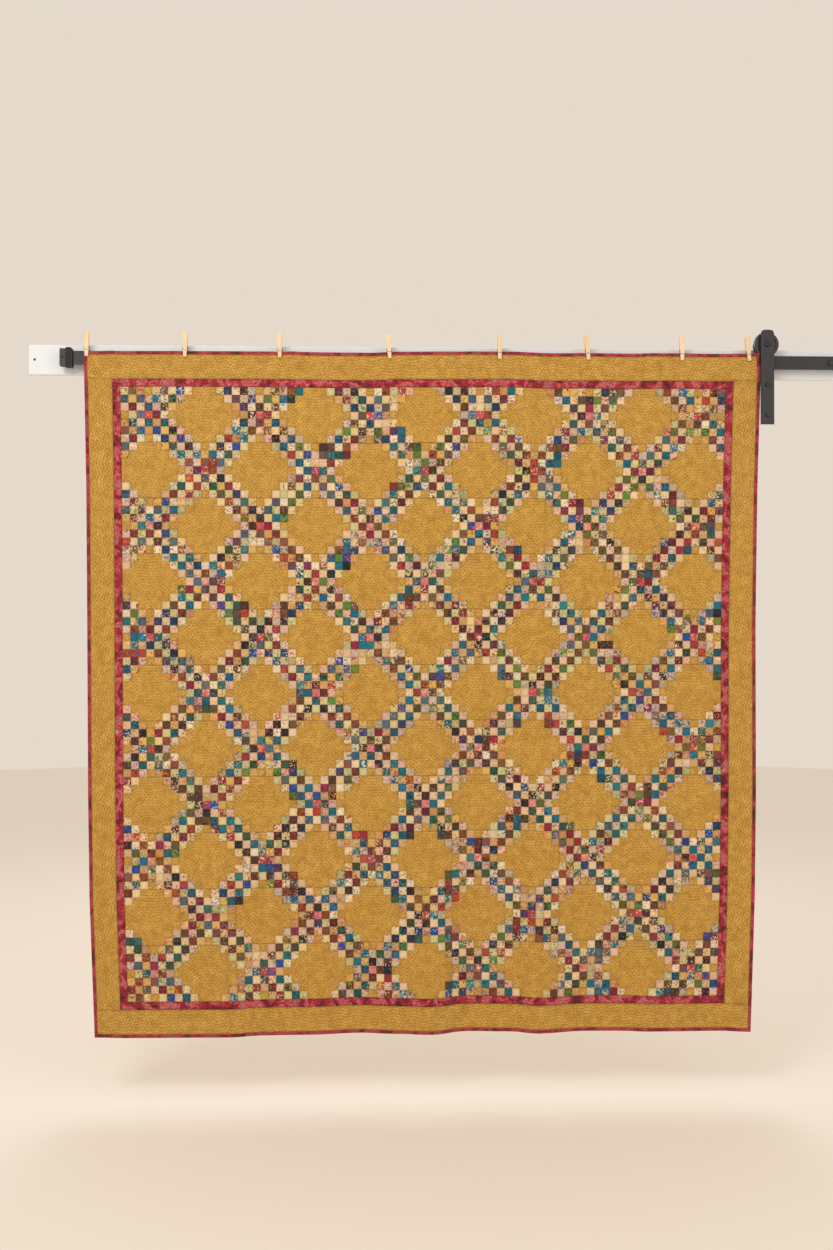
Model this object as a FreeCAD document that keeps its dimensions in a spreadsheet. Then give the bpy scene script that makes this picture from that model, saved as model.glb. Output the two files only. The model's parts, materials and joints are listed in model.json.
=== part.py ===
import FreeCAD, Part
import math
import os
import re
import Sketcher

# A patchwork quilt hung by eight spring clothespins from a flat steel sliding-door rail.
# The rail stands off a painted header board on spacers, with a stop at each end, and a
# roller hanger runs on it to the right of the quilt.
# Millimetres. Origin: centre of the board's back face, which lies on the wall.
# X runs right along the rail, Y runs into the wall, Z is up, so the quilt faces -Y.

SIZES = {
    # header board and its screws
    "board_overhang": 100.0,     # board past each end of the rail
    "board_thick": 19.0,
    "board_height": 88.9,
    "board_edge": 1.5,           # eased front corners
    "screw_inset": 17.5,         # screw centre from the board's end
    "screw_head_radius": 3.5,
    "screw_face_radius": 2.5,    # the rounded head's flat
    "screw_head_high": 2.0,
    "screw_radius": 2.0,
    "screw_thread_radius": 1.7,
    "screw_reach": 35.0,         # screw past the board, into the wall
    # rail, standoffs and lag bolts
    "rail_length": 2438.4,
    "rail_thick": 6.0,
    "rail_height": 40.0,
    "standoff": 28.0,            # board's face to the rail's back
    "spacer_radius": 10.0,
    "bolt_count": 5.0,
    "bolt_end": 147.0,           # last bolt from the rail's end
    "lag_radius": 4.0,
    "lag_thread_radius": 3.5,
    "lag_reach": 45.0,           # thread past the board, into the wall
    "lag_head_across": 7.2,      # centre to corner of the hexagon
    "lag_head_high": 5.3,
    "lag_crown_radius": 5.9,     # turned top of the hexagon
    "lag_crown_high": 2.1,
    "lag_skirt_radius": 7.9,
    "lag_point_long": 7.0,
    "lag_point_radius": 0.9,
    "washer_radius": 8.5,
    "washer_thick": 1.6,
    "bolt_clearance": 0.3,
    # end stops
    "stop_width": 16.5,
    "stop_high": 51.0,
    "stop_deep": 24.0,
    "bumper_width": 20.0,
    "bumper_high": 57.0,
    "bumper_deep": 28.0,
    "bumper_corner": 6.0,
    "bumper_groove": 1.6,
    "grub_radius": 3.0,
    "grub_below": 0.4,           # grub screw under the stop's face
    "grub_key": 1.65,
    "grub_key_deep": 1.9,
    "rail_slip": 0.1,            # rail in a stop
    # quilt
    "patch": 23.4,
    "patches": 77.0,
    "inner_border": 23.4,
    "outer_border": 72.0,
    "binding_width": 9.7,
    "top_thick": 0.4,
    "batting_thick": 2.2,
    "backing_thick": 0.4,
    "binding_thick": 0.4,
    "quilt_gap": 32.7,           # quilt's left edge from the left bumper
    "quilt_drop": 1.0,           # quilt's top edge under the rail's top
    "soft_clearance": 0.3,       # between bodies, and between the quilt and the rail
    "bulge_foot": 28.0,          # cloth bulge over a bolt head: radius where it leaves the rail
    "bulge_crown": 9.0,          # and over the head
    # clothespins
    "pin_length": 73.0,
    "pin_coil_at": 31.0,         # coil from the jaw's tip
    "pin_jaw_width": 10.0,
    "pin_handle_width": 15.0,
    "pin_tip_thick": 4.0,
    "pin_waist_thick": 7.0,
    "pin_handle_thick": 4.6,
    "pin_handle_taper": 7.5,     # how far a handle's inner face leans out
    "pin_bite": 18.0,            # jaw's tip under the rail's top
    "pin_seat_depth": 0.6,       # coil's seat in a leg
    "wire_radius": 0.9,
    "wire_slip": 0.15,           # spring arm in its groove
    "coil_eye_slack": 0.2,
    "wire_lift": 0.05,           # arms off the wood and off the sleeve's edge
    "coil_radius": 3.5,
    "coil_slip": 0.1,
    "coil_overhang": 0.4,        # coil past the legs' sides
    "arm_groove_at": 19.0,       # spring arm's groove from the jaw's tip
    # roller hanger
    "hanger_gap": 15.0,          # strap's centre from the quilt's right edge
    "strap_width": 40.0,
    "strap_thick": 6.0,
    "strap_length": 283.0,
    "strap_above": 42.3,         # strap past the axle's centre
    "strap_chamfer": 8.0,
    "strap_nose": 3.6,           # the chamfer's width
    "strap_crown": 3.0,          # rise of the strap's arched top
    "axle_radius": 6.0,
    "axle_head_radius": 10.0,
    "axle_head_high": 5.0,
    "axle_face_radius": 7.5,
    "axle_key": 3.3,
    "axle_key_deep": 2.5,
    "axle_past_nut": 2.0,
    "axle_washer_radius": 10.0,
    "axle_nut_across": 10.4,
    "axle_nut_high": 7.5,
    "axle_slip": 0.05,           # running fit in the bearing
    "wheel_width": 22.0,
    "wheel_rim_radius": 37.0,
    "wheel_tread_radius": 33.0,
    "wheel_groove_slip": 0.6,    # each side of the rail
    "wheel_dish_depth": 3.0,
    "wheel_dish_outer": 29.0,
    "wheel_dish_inner": 17.0,
    "bearing_radius": 13.0,
    "strap_to_wheel": 3.0,
    "door_bolt_first": 122.5,    # upper door bolt under the axle
    "door_bolt_pitch": 90.5,
    "door_bolt_radius": 4.0,
    "door_bolt_head": 6.75,
    "door_bolt_head_high": 6.0,
    "door_bolt_face_radius": 4.7,
    "door_bolt_skirt_radius": 8.8,
    "door_bolt_thread_radius": 3.4,
    "door_bolt_reach": 40.0,
    "hole_slip": 0.3,
}

# Places of the clothespins as shares of the quilt's width from its left edge, each with its
# lean in degrees (positive leans the top to the right).
PINS = [
    (0.0042, -1.5),
    (0.1474, 0.0),
    (0.2858, 0.0),
    (0.4463, -4.5),
    (0.6098, 0.0),
    (0.7401, -5.5),
    (0.8812, 0.5),
    (0.9808, -3.0),
]

doc = FreeCAD.newDocument("QuiltOnRack")
sheet = doc.addObject("Spreadsheet::Sheet", "Sizes")
for row, (alias, value) in enumerate(SIZES.items(), start=1):
    sheet.set(f"A{row}", alias)
    sheet.set(f"B{row}", str(value))
    sheet.setAlias(f"B{row}", alias)
doc.recompute()


def size(alias):
    return float(sheet.get(alias))


def rule(text):
    """Names of sheet values in a rule become references to the sheet."""
    return re.sub(r"[a-z]+(_[a-z]+)*", lambda m: "Sizes." * (m[0] in SIZES) + m[0], text)


# ---- small builders: every length is a rule on the sheet ----

def bind(obj, **rules):
    for prop, text in rules.items():
        obj.setExpression(prop, rule(text))
    return obj


def place(obj, x="0", y="0", z="0", turn=None):
    if turn is not None:
        obj.Placement = FreeCAD.Placement(FreeCAD.Vector(), turn)
    for axis, text in zip("xyz", (x, y, z)):
        obj.setExpression(f"Placement.Base.{axis}", rule(text))
    return obj


def block(name, low, lengths):
    obj = doc.addObject("Part::Box", name)
    bind(obj, Length=lengths[0], Width=lengths[1], Height=lengths[2])
    return place(obj, *low)


TO_WALL = FreeCAD.Rotation(FreeCAD.Vector(1, 0, 0), -90)
TO_RIGHT = FreeCAD.Rotation(FreeCAD.Vector(0, 1, 0), 90)


def rod(name, radius, length, start, turn=TO_WALL):
    """A cylinder from its start centre, towards the wall unless turned."""
    obj = doc.addObject("Part::Cylinder", name)
    bind(obj, Radius=radius, Height=length)
    return place(obj, *start, turn=turn)


def cone(name, radius, end_radius, length, start, turn=TO_WALL):
    obj = doc.addObject("Part::Cone", name)
    bind(obj, Radius1=radius, Radius2=end_radius, Height=length)
    return place(obj, *start, turn=turn)


def hexagon(name, corner, length, start):
    obj = doc.addObject("Part::Prism", name)
    obj.Polygon = 6
    bind(obj, Circumradius=corner, Height=length)
    return place(obj, *start, turn=TO_WALL)


def cut(name, base, *tools):
    tool = tools[0] if len(tools) == 1 else fuse(name + "Tools", *tools)
    obj = doc.addObject("Part::Cut", name)
    obj.Base, obj.Tool = base, tool
    return obj


def fuse(name, *shapes):
    obj = doc.addObject("Part::MultiFuse", name)
    obj.Shapes = list(shapes)
    return obj


def common(name, *shapes):
    obj = doc.addObject("Part::MultiCommon", name)
    obj.Shapes = list(shapes)
    return obj


def group(name, shapes):
    obj = doc.addObject("Part::Compound", name)
    obj.Links = list(shapes)
    return obj


NODES = []


def node(obj, label):
    obj.Label = label
    NODES.append(obj)
    return obj


# ---- planes that several pieces share, as rules ----

PAST = "1"      # how far a cutting tool runs past the face it cuts
AROUND = "50"   # how far the quilt's cutting blocks reach past its edges
CLOTH_ROOM = "40"   # how far they reach past its planes

BOARD_FACE = "-board_thick"
RAIL_BACK = "-board_thick - standoff"
RAIL_FRONT = "-board_thick - standoff - rail_thick"
RAIL_MIDDLE = "-board_thick - standoff - rail_thick / 2"
RAIL_END = "rail_length / 2"
RAIL_TOP = "rail_height / 2"
BOLT_STEP = "( rail_length - 2 * bolt_end ) / ( bolt_count - 1 )"
BOLTS = range(int(size("bolt_count")))

QUILT_LEFT = "-rail_length / 2 + stop_width + bumper_width + quilt_gap"
FIELD_SIDE = "patches * patch"
QUILT_SIDE = FIELD_SIDE + " + 2 * ( inner_border + outer_border + binding_width )"
QUILT_TOP = "rail_height / 2 - quilt_drop"
QUILT_BACK = RAIL_FRONT + " - soft_clearance"
HEAD_STACK = "( washer_thick + lag_head_high )"

AXLE_X = QUILT_LEFT + " + " + QUILT_SIDE + " + hanger_gap"
AXLE_Z = RAIL_TOP + " + wheel_tread_radius + soft_clearance"
WHEEL_FRONT = RAIL_MIDDLE + " - wheel_width / 2"
WHEEL_BACK = RAIL_MIDDLE + " + wheel_width / 2"
STRAP_BACK = WHEEL_FRONT + " - strap_to_wheel"
STRAP_FRONT = STRAP_BACK + " - strap_thick"


def bolt_x(index):
    return f"( {index} - ( bolt_count - 1 ) / 2 ) * {BOLT_STEP}"


# ---- header board and its two screws ----

def header_board():
    half = "( rail_length / 2 + board_overhang )"
    plank = block("Plank", (f"-{half}", BOARD_FACE, "-board_height / 2"),
                  (f"2 * {half}", "board_thick", "board_height"))
    doc.recompute()
    eased = doc.addObject("Part::Chamfer", "EasedPlank")
    eased.Base = plank
    front = -size("board_thick")
    edge = size("board_edge")
    eased.Edges = [
        (number, edge, edge)
        for number, line in enumerate(plank.Shape.Edges, start=1)
        if all(abs(vertex.Y - front) < 0.01 for vertex in line.Vertexes)
    ]
    holes = [
        rod(f"LagHole{i}", "lag_radius + bolt_clearance", f"board_thick + 2 * {PAST}",
            (bolt_x(i), BOARD_FACE + f" - {PAST}", "0"))
        for i in BOLTS
    ]
    for side, sign in (("Left", "-"), ("Right", "")):
        holes.append(rod(f"ScrewHole{side}", "screw_radius + bolt_clearance", f"board_thick + 2 * {PAST}",
                         (f"{sign} ( rail_length / 2 + board_overhang - screw_inset )",
                          BOARD_FACE + f" - {PAST}", "0")))
    node(cut("HeaderBoard", eased, *holes), "header_board")


def board_screws():
    screws = []
    for side, sign in (("Left", "-"), ("Right", "")):
        x = f"{sign} ( rail_length / 2 + board_overhang - screw_inset )"
        head = cone(f"ScrewHead{side}", "screw_face_radius", "screw_head_radius",
                    "screw_head_high", (x, BOARD_FACE + " - screw_head_high", "0"))
        shank = rod(f"ScrewShank{side}", "screw_radius", "board_thick",
                    (x, BOARD_FACE, "0"))
        thread = rod(f"ScrewThread{side}", "screw_thread_radius", "screw_reach", (x, "0", "0"))
        screws.append(fuse(f"Screw{side}", head, shank, thread))
    node(group("BoardScrews", screws), "board_screws")


# ---- rail, spacers, washers and lag bolts ----

def rail():
    bar = block("RailBar", (f"-{RAIL_END}", RAIL_FRONT, "-rail_height / 2"),
                ("rail_length", "rail_thick", "rail_height"))
    holes = [
        rod(f"RailHole{i}", "lag_radius + bolt_clearance", f"rail_thick + 2 * {PAST}",
            (bolt_x(i), RAIL_FRONT + f" - {PAST}", "0"))
        for i in BOLTS
    ]
    node(cut("Rail", bar, *holes), "rail")


def rings(name, label, radius, length, start):
    """One ring round each lag bolt."""
    made = []
    for i in BOLTS:
        outer = rod(f"{name}Outer{i}", radius, length, (bolt_x(i), start, "0"))
        bore = rod(f"{name}Bore{i}", "lag_radius + bolt_clearance", length + f" + 2 * {PAST}",
                   (bolt_x(i), start + f" - {PAST}", "0"))
        made.append(cut(f"{name}{i}", outer, bore))
    node(group(name + "s", made), label)


def rail_bolts():
    made = []
    head_front = f"{RAIL_FRONT} - {HEAD_STACK}"
    for i in BOLTS:
        x = bolt_x(i)
        prism = hexagon(f"LagHex{i}", "lag_head_across", "lag_head_high", (x, head_front, "0"))
        crown = cone(f"LagCrown{i}", "lag_crown_radius", "lag_skirt_radius",
                     "lag_crown_high", (x, head_front, "0"))
        skirt = rod(f"LagSkirt{i}", "lag_skirt_radius", "lag_head_high - lag_crown_high",
                    (x, head_front + " + lag_crown_high", "0"))
        head = common(f"LagHead{i}", prism, fuse(f"LagTurned{i}", crown, skirt))
        shank = rod(f"LagShank{i}", "lag_radius",
                    "washer_thick + rail_thick + standoff + board_thick",
                    (x, RAIL_FRONT + " - washer_thick", "0"))
        thread = rod(f"LagThread{i}", "lag_thread_radius", "lag_reach", (x, "0", "0"))
        point = cone(f"LagPoint{i}", "lag_thread_radius", "lag_point_radius",
                     "lag_point_long", (x, "lag_reach", "0"))
        made.append(fuse(f"Lag{i}", head, shank, thread, point))
    node(group("RailBolts", made), "rail_bolts")


# ---- end stops ----

def end_stop(side):
    """A steel block outermost and a grooved rubber bumper inside it, both sleeved on the rail."""
    sign = -1 if side == "left" else 1
    name = side.capitalize()
    outer = f"{sign} * {RAIL_END}"
    steel_x = outer if sign < 0 else f"{RAIL_END} - stop_width"
    rubber_x = f"{outer} + stop_width" if sign < 0 else f"{RAIL_END} - stop_width - bumper_width"
    sleeve = block(name + "Sleeve", (f"-{RAIL_END} - {PAST}", RAIL_FRONT + " - rail_slip",
                                     "-rail_height / 2 - rail_slip"),
                   (f"rail_length + 2 * {PAST}", "rail_thick + 2 * rail_slip",
                    "rail_height + 2 * rail_slip"))
    steel = block(name + "Steel", (steel_x, RAIL_MIDDLE + " - stop_deep / 2", "-stop_high / 2"),
                  ("stop_width", "stop_deep", "stop_high"))
    grub_x = f"{outer} - {sign} * stop_width / 2"
    tapped = rod(name + "Tapped", "grub_radius", "stop_deep / 2",
                 (grub_x, RAIL_MIDDLE + f" - stop_deep / 2 - {PAST}", "0"))
    node(cut(name + "StopBody", steel, sleeve, tapped), f"{side}_stop_body")

    grub = rod(name + "Grub", "grub_radius", "( stop_deep - rail_thick ) / 2 - grub_below",
               (grub_x, RAIL_MIDDLE + " - stop_deep / 2 + grub_below", "0"))
    key = hexagon(name + "Key", "grub_key", f"grub_key_deep + {PAST}",
                  (grub_x, RAIL_MIDDLE + f" - stop_deep / 2 + grub_below - {PAST}", "0"))
    node(cut(name + "StopScrew", grub, key), f"{side}_stop_screw")

    rubber = block(name + "Rubber", (rubber_x, RAIL_MIDDLE + " - bumper_deep / 2", "-bumper_high / 2"),
                   ("bumper_width", "bumper_deep", "bumper_high"))
    doc.recompute()
    rounded = doc.addObject("Part::Fillet", name + "Rounded")
    rounded.Base = rubber
    corner = size("bumper_corner")
    rounded.Edges = [
        (number, corner, corner)
        for number, line in enumerate(rubber.Shape.Edges, start=1)
        if abs(line.tangentAt(line.FirstParameter).y) > 0.99
        and line.Vertexes[0].Z > 0
    ]
    grooves = [
        rod(f"{name}Groove{i}", "bumper_groove / 2", f"bumper_high + 2 * {PAST}",
            (f"{rubber_x} + bumper_width * {share}", RAIL_MIDDLE + " - bumper_deep / 2",
             f"-bumper_high / 2 - {PAST}"), turn=FreeCAD.Rotation())
        for i, share in enumerate((0.3, 0.5, 0.7))
    ]
    node(cut(name + "StopBumper", rounded, sleeve, *grooves), f"{side}_stop_bumper")


# ---- quilt ----
# Flat layers that hang against the rail's face. Over each bolt head that they cover, every
# layer bulges forward as one cone. A layer is what lies in front of its back plane and behind
# its front plane, inside its own outline.

def covered_bolts():
    left = -size("rail_length") / 2 + size("stop_width") + size("bumper_width") + size("quilt_gap")
    border = size("inner_border") + size("outer_border") + size("binding_width")
    right = left + size("patches") * size("patch") + 2 * border
    step = (size("rail_length") - 2 * size("bolt_end")) / (size("bolt_count") - 1)
    spots = [(i, (i - (size("bolt_count") - 1) / 2) * step) for i in BOLTS]
    reach = size("bulge_foot")
    return [(i, x) for i, x in spots if left - reach < x < right + reach], left, right


def behind(name, plane):
    """Everything from far behind the quilt up to a cloth plane, with its bulges."""
    back = block(name + "Back",
                 (f"{QUILT_LEFT} - {AROUND}", plane, f"{QUILT_TOP} - ( {QUILT_SIDE} ) - {AROUND}"),
                 (f"{QUILT_SIDE} + 2 * {AROUND}", CLOTH_ROOM, f"{QUILT_SIDE} + 2 * {AROUND}"))
    bulges = [
        cone(f"{name}Bulge{i}", "bulge_crown", "bulge_foot", HEAD_STACK,
             (bolt_x(i), f"{plane} - {HEAD_STACK}", "0"))
        for i, _ in covered_bolts()[0]
    ]
    return fuse(name, back, *bulges)


def outline(name, inset):
    """A block through all layers, inset from the quilt's edge."""
    side = f"{QUILT_SIDE} - 2 * ( {inset} )"
    return block(name, (f"{QUILT_LEFT} + {inset}", f"{QUILT_BACK} - {CLOTH_ROOM}",
                        f"{QUILT_TOP} + {inset} - ( {QUILT_SIDE} )"),
                 (side, f"2 * {CLOTH_ROOM}", side))


def quilt():
    planes = {}
    depth = "0"
    for name, thick in (("BindingBack", "binding_thick"), ("BackingBack", "backing_thick"),
                        ("BattingBack", "batting_thick"), ("TopBack", "top_thick"),
                        ("TopFront", "binding_thick"), ("BindingFront", None)):
        planes[name] = behind(name, f"{QUILT_BACK} - {depth}")
        depth = f"( {depth} + {thick} )"

    whole = outline("WholeOutline", "0")
    layers = outline("LayersOutline", "binding_thick")
    bound = outline("BoundOutline", "binding_width")
    inner = outline("InnerOutline", "( binding_width + outer_border )")
    field = outline("FieldOutline", "( binding_width + outer_border + inner_border )")

    def layer(name, back, front, *shape):
        return common(name, cut(name + "Sheet", planes[front], planes[back]), *shape)

    node(layer("Backing", "BackingBack", "BattingBack", layers), "quilt_backing")
    node(layer("Batting", "BattingBack", "TopBack", layers), "quilt_batting")
    node(layer("OuterBorder", "TopBack", "TopFront", cut("OuterRing", layers, inner)),
         "quilt_outer_border")
    node(layer("InnerBorder", "TopBack", "TopFront", cut("InnerRing", inner, field)),
         "quilt_inner_border")
    node(layer("Field", "TopBack", "TopFront", field), "quilt_field")
    wrap = layer("BindingWrap", "BindingBack", "BindingFront", cut("BindingRing", whole, bound))
    core = layer("BindingCore", "BackingBack", "TopFront", layers)
    node(cut("Binding", wrap, core), "quilt_binding")


# ---- clothespins ----
# A leg lies along its own Y from the jaw's tip, X across it and Z out from its inner face.
# Two tapered blocks make it, with the coil's seat and the spring arm's groove cut in.

def leg(name):
    jaw = doc.addObject("Part::Wedge", name + "Jaw")
    handle = doc.addObject("Part::Wedge", name + "Handle")
    waist = ("( pin_jaw_width + ( pin_handle_width - pin_jaw_width )"
             " * pin_coil_at / pin_length ) / 2")
    bind(jaw, Ymin="0", Ymax="pin_coil_at",
         Xmin="-pin_jaw_width / 2", Xmax="pin_jaw_width / 2",
         X2min=f"-{waist}", X2max=waist,
         Zmin="0", Zmax="pin_tip_thick", Z2min="0", Z2max="pin_waist_thick")
    bind(handle, Ymin="pin_coil_at", Ymax="pin_length",
         Xmin=f"-{waist}", Xmax=waist,
         X2min="-pin_handle_width / 2", X2max="pin_handle_width / 2",
         Zmin="0", Zmax="pin_waist_thick",
         Z2min="pin_handle_taper", Z2max="pin_handle_taper + pin_handle_thick")
    seat = rod(name + "Seat", "coil_radius + coil_slip", f"pin_handle_width + 2 * {PAST}",
               (f"-pin_handle_width / 2 - {PAST}", "pin_coil_at",
                "pin_seat_depth - coil_radius - coil_slip"), turn=TO_RIGHT)
    arm = f"( pin_tip_thick + ( pin_waist_thick - pin_tip_thick ) * arm_groove_at / pin_coil_at )"
    groove = rod(name + "Groove", "wire_radius + wire_slip", f"pin_handle_width + 2 * {PAST}",
                 (f"-pin_handle_width / 2 - {PAST}", "arm_groove_at", arm), turn=TO_RIGHT)
    return cut(name, fuse(name + "Blank", jaw, handle), seat, groove)


def jaw_geometry():
    """Coil centre to a leg's inner face, lean of a leg and depth of the coil's centre.

    The legs grip the rail's top corner at the back and the quilt's top edge in front.
    """
    edge = (size("top_thick") + size("batting_thick") + size("backing_thick")
            + 2 * size("binding_thick"))
    slack = size("soft_clearance")
    grip = size("rail_thick") + slack + edge + 2 * slack
    at_coil = size("coil_radius") + size("coil_slip") - size("pin_seat_depth")
    above_rail = size("pin_coil_at") - size("pin_bite")
    drops = 2 * above_rail + size("quilt_drop")
    # grip = 2 * at_coil / cos(lean) + drops * tan(lean)
    lean = math.acos(2 * at_coil / math.hypot(grip, drops)) - math.atan2(drops, grip)
    rail_back = -size("board_thick") - size("standoff")
    depth = rail_back + slack - at_coil / math.cos(lean) - above_rail * math.tan(lean)
    return at_coil, lean, depth


def waist_half():
    flare = size("pin_handle_width") - size("pin_jaw_width")
    return (size("pin_jaw_width") + flare * size("pin_coil_at") / size("pin_length")) / 2


def beside_bolts(x, bolts):
    """A pin can't grip over a bolt's bulge, so it stands beside it."""
    clear = size("bulge_foot") + size("pin_handle_width") / 2 + size("soft_clearance")
    for _, bolt in bolts:
        if abs(x - bolt) < clear:
            x = bolt + math.copysign(clear, x - bolt)
    return x


def clothespins():
    at_coil, lean, depth = jaw_geometry()
    bolts, left, right = covered_bolts()
    coil_up = size("rail_height") / 2 - size("pin_bite") + size("pin_coil_at")
    half_turn = FreeCAD.Rotation(FreeCAD.Vector(0, 0, 1), 180)
    tip_up = FreeCAD.Rotation(FreeCAD.Vector(1, 0, 0), 90 - math.degrees(lean))
    reach = size("pin_coil_at")
    for number, (share, tilt) in enumerate(PINS, start=1):
        x = beside_bolts(left + share * (right - left), bolts)
        middle = FreeCAD.Placement(FreeCAD.Vector(x, depth, coil_up),
                                   FreeCAD.Rotation(FreeCAD.Vector(0, 1, 0), tilt))
        # the leg's tip, seen from the coil's centre
        tip = FreeCAD.Vector(0, -at_coil * math.cos(lean) - reach * math.sin(lean),
                             at_coil * math.sin(lean) - reach * math.cos(lean))
        front_place = FreeCAD.Placement(tip, tip_up)
        rear_place = FreeCAD.Placement(FreeCAD.Vector(), half_turn).multiply(front_place)
        front = leg(f"Pin{number}Front")
        front.Placement = middle.multiply(front_place)
        node(front, f"clothespin_{number}_front")
        rear = leg(f"Pin{number}Rear")
        rear.Placement = middle.multiply(rear_place)
        node(rear, f"clothespin_{number}_rear")
        coil = spring(f"Pin{number}Spring", at_coil, lean)
        coil.Placement = middle
        node(coil, f"clothespin_{number}_spring")


def spring(name, at_coil, lean):
    """The coil as a sleeve, and an arm from each end of it over its leg's outer face."""
    wire = size("wire_radius")
    lift = size("wire_lift")
    coil = size("coil_radius")
    half = waist_half() + size("coil_overhang")
    up = FreeCAD.Vector(1, 0, 0)
    sleeve = Part.makeCylinder(coil, 2 * half, FreeCAD.Vector(-half, 0, 0), up)
    eye = coil - 2 * wire - size("coil_eye_slack")
    sleeve = sleeve.cut(Part.makeCylinder(eye, 2 * half, FreeCAD.Vector(-half, 0, 0), up))
    side = half + wire
    solids = [sleeve]
    taper = (size("pin_waist_thick") - size("pin_tip_thick")) / size("pin_coil_at")
    out = at_coil + size("pin_tip_thick") + taper * size("arm_groove_at") + lift
    down = size("pin_coil_at") - size("arm_groove_at")
    for way in (-1, 1):
        # the groove's centre, out from the coil along the leg
        hook = FreeCAD.Vector(0, way * (down * math.sin(lean) + out * math.cos(lean)),
                              -down * math.cos(lean) + out * math.sin(lean))
        reach = FreeCAD.Vector(way * side, hook.y, hook.z)
        off = way * (coil - wire - lift)
        stub = FreeCAD.Vector(way * side, off, 0)
        start = FreeCAD.Vector(way * (half - wire), off, 0)
        end = FreeCAD.Vector(-way * half, hook.y, hook.z)
        solids += [
            Part.makeCylinder(wire, (stub - start).Length, start, stub - start),
            Part.makeSphere(wire, stub),
            Part.makeCylinder(wire, (reach - stub).Length, stub, reach - stub),
            Part.makeSphere(wire, reach),
            Part.makeCylinder(wire, (end - reach).Length, reach, end - reach),
        ]
    obj = doc.addObject("Part::Feature", name)
    obj.Shape = solids[0].fuse(solids[1:])
    return obj


# ---- roller hanger ----

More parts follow.
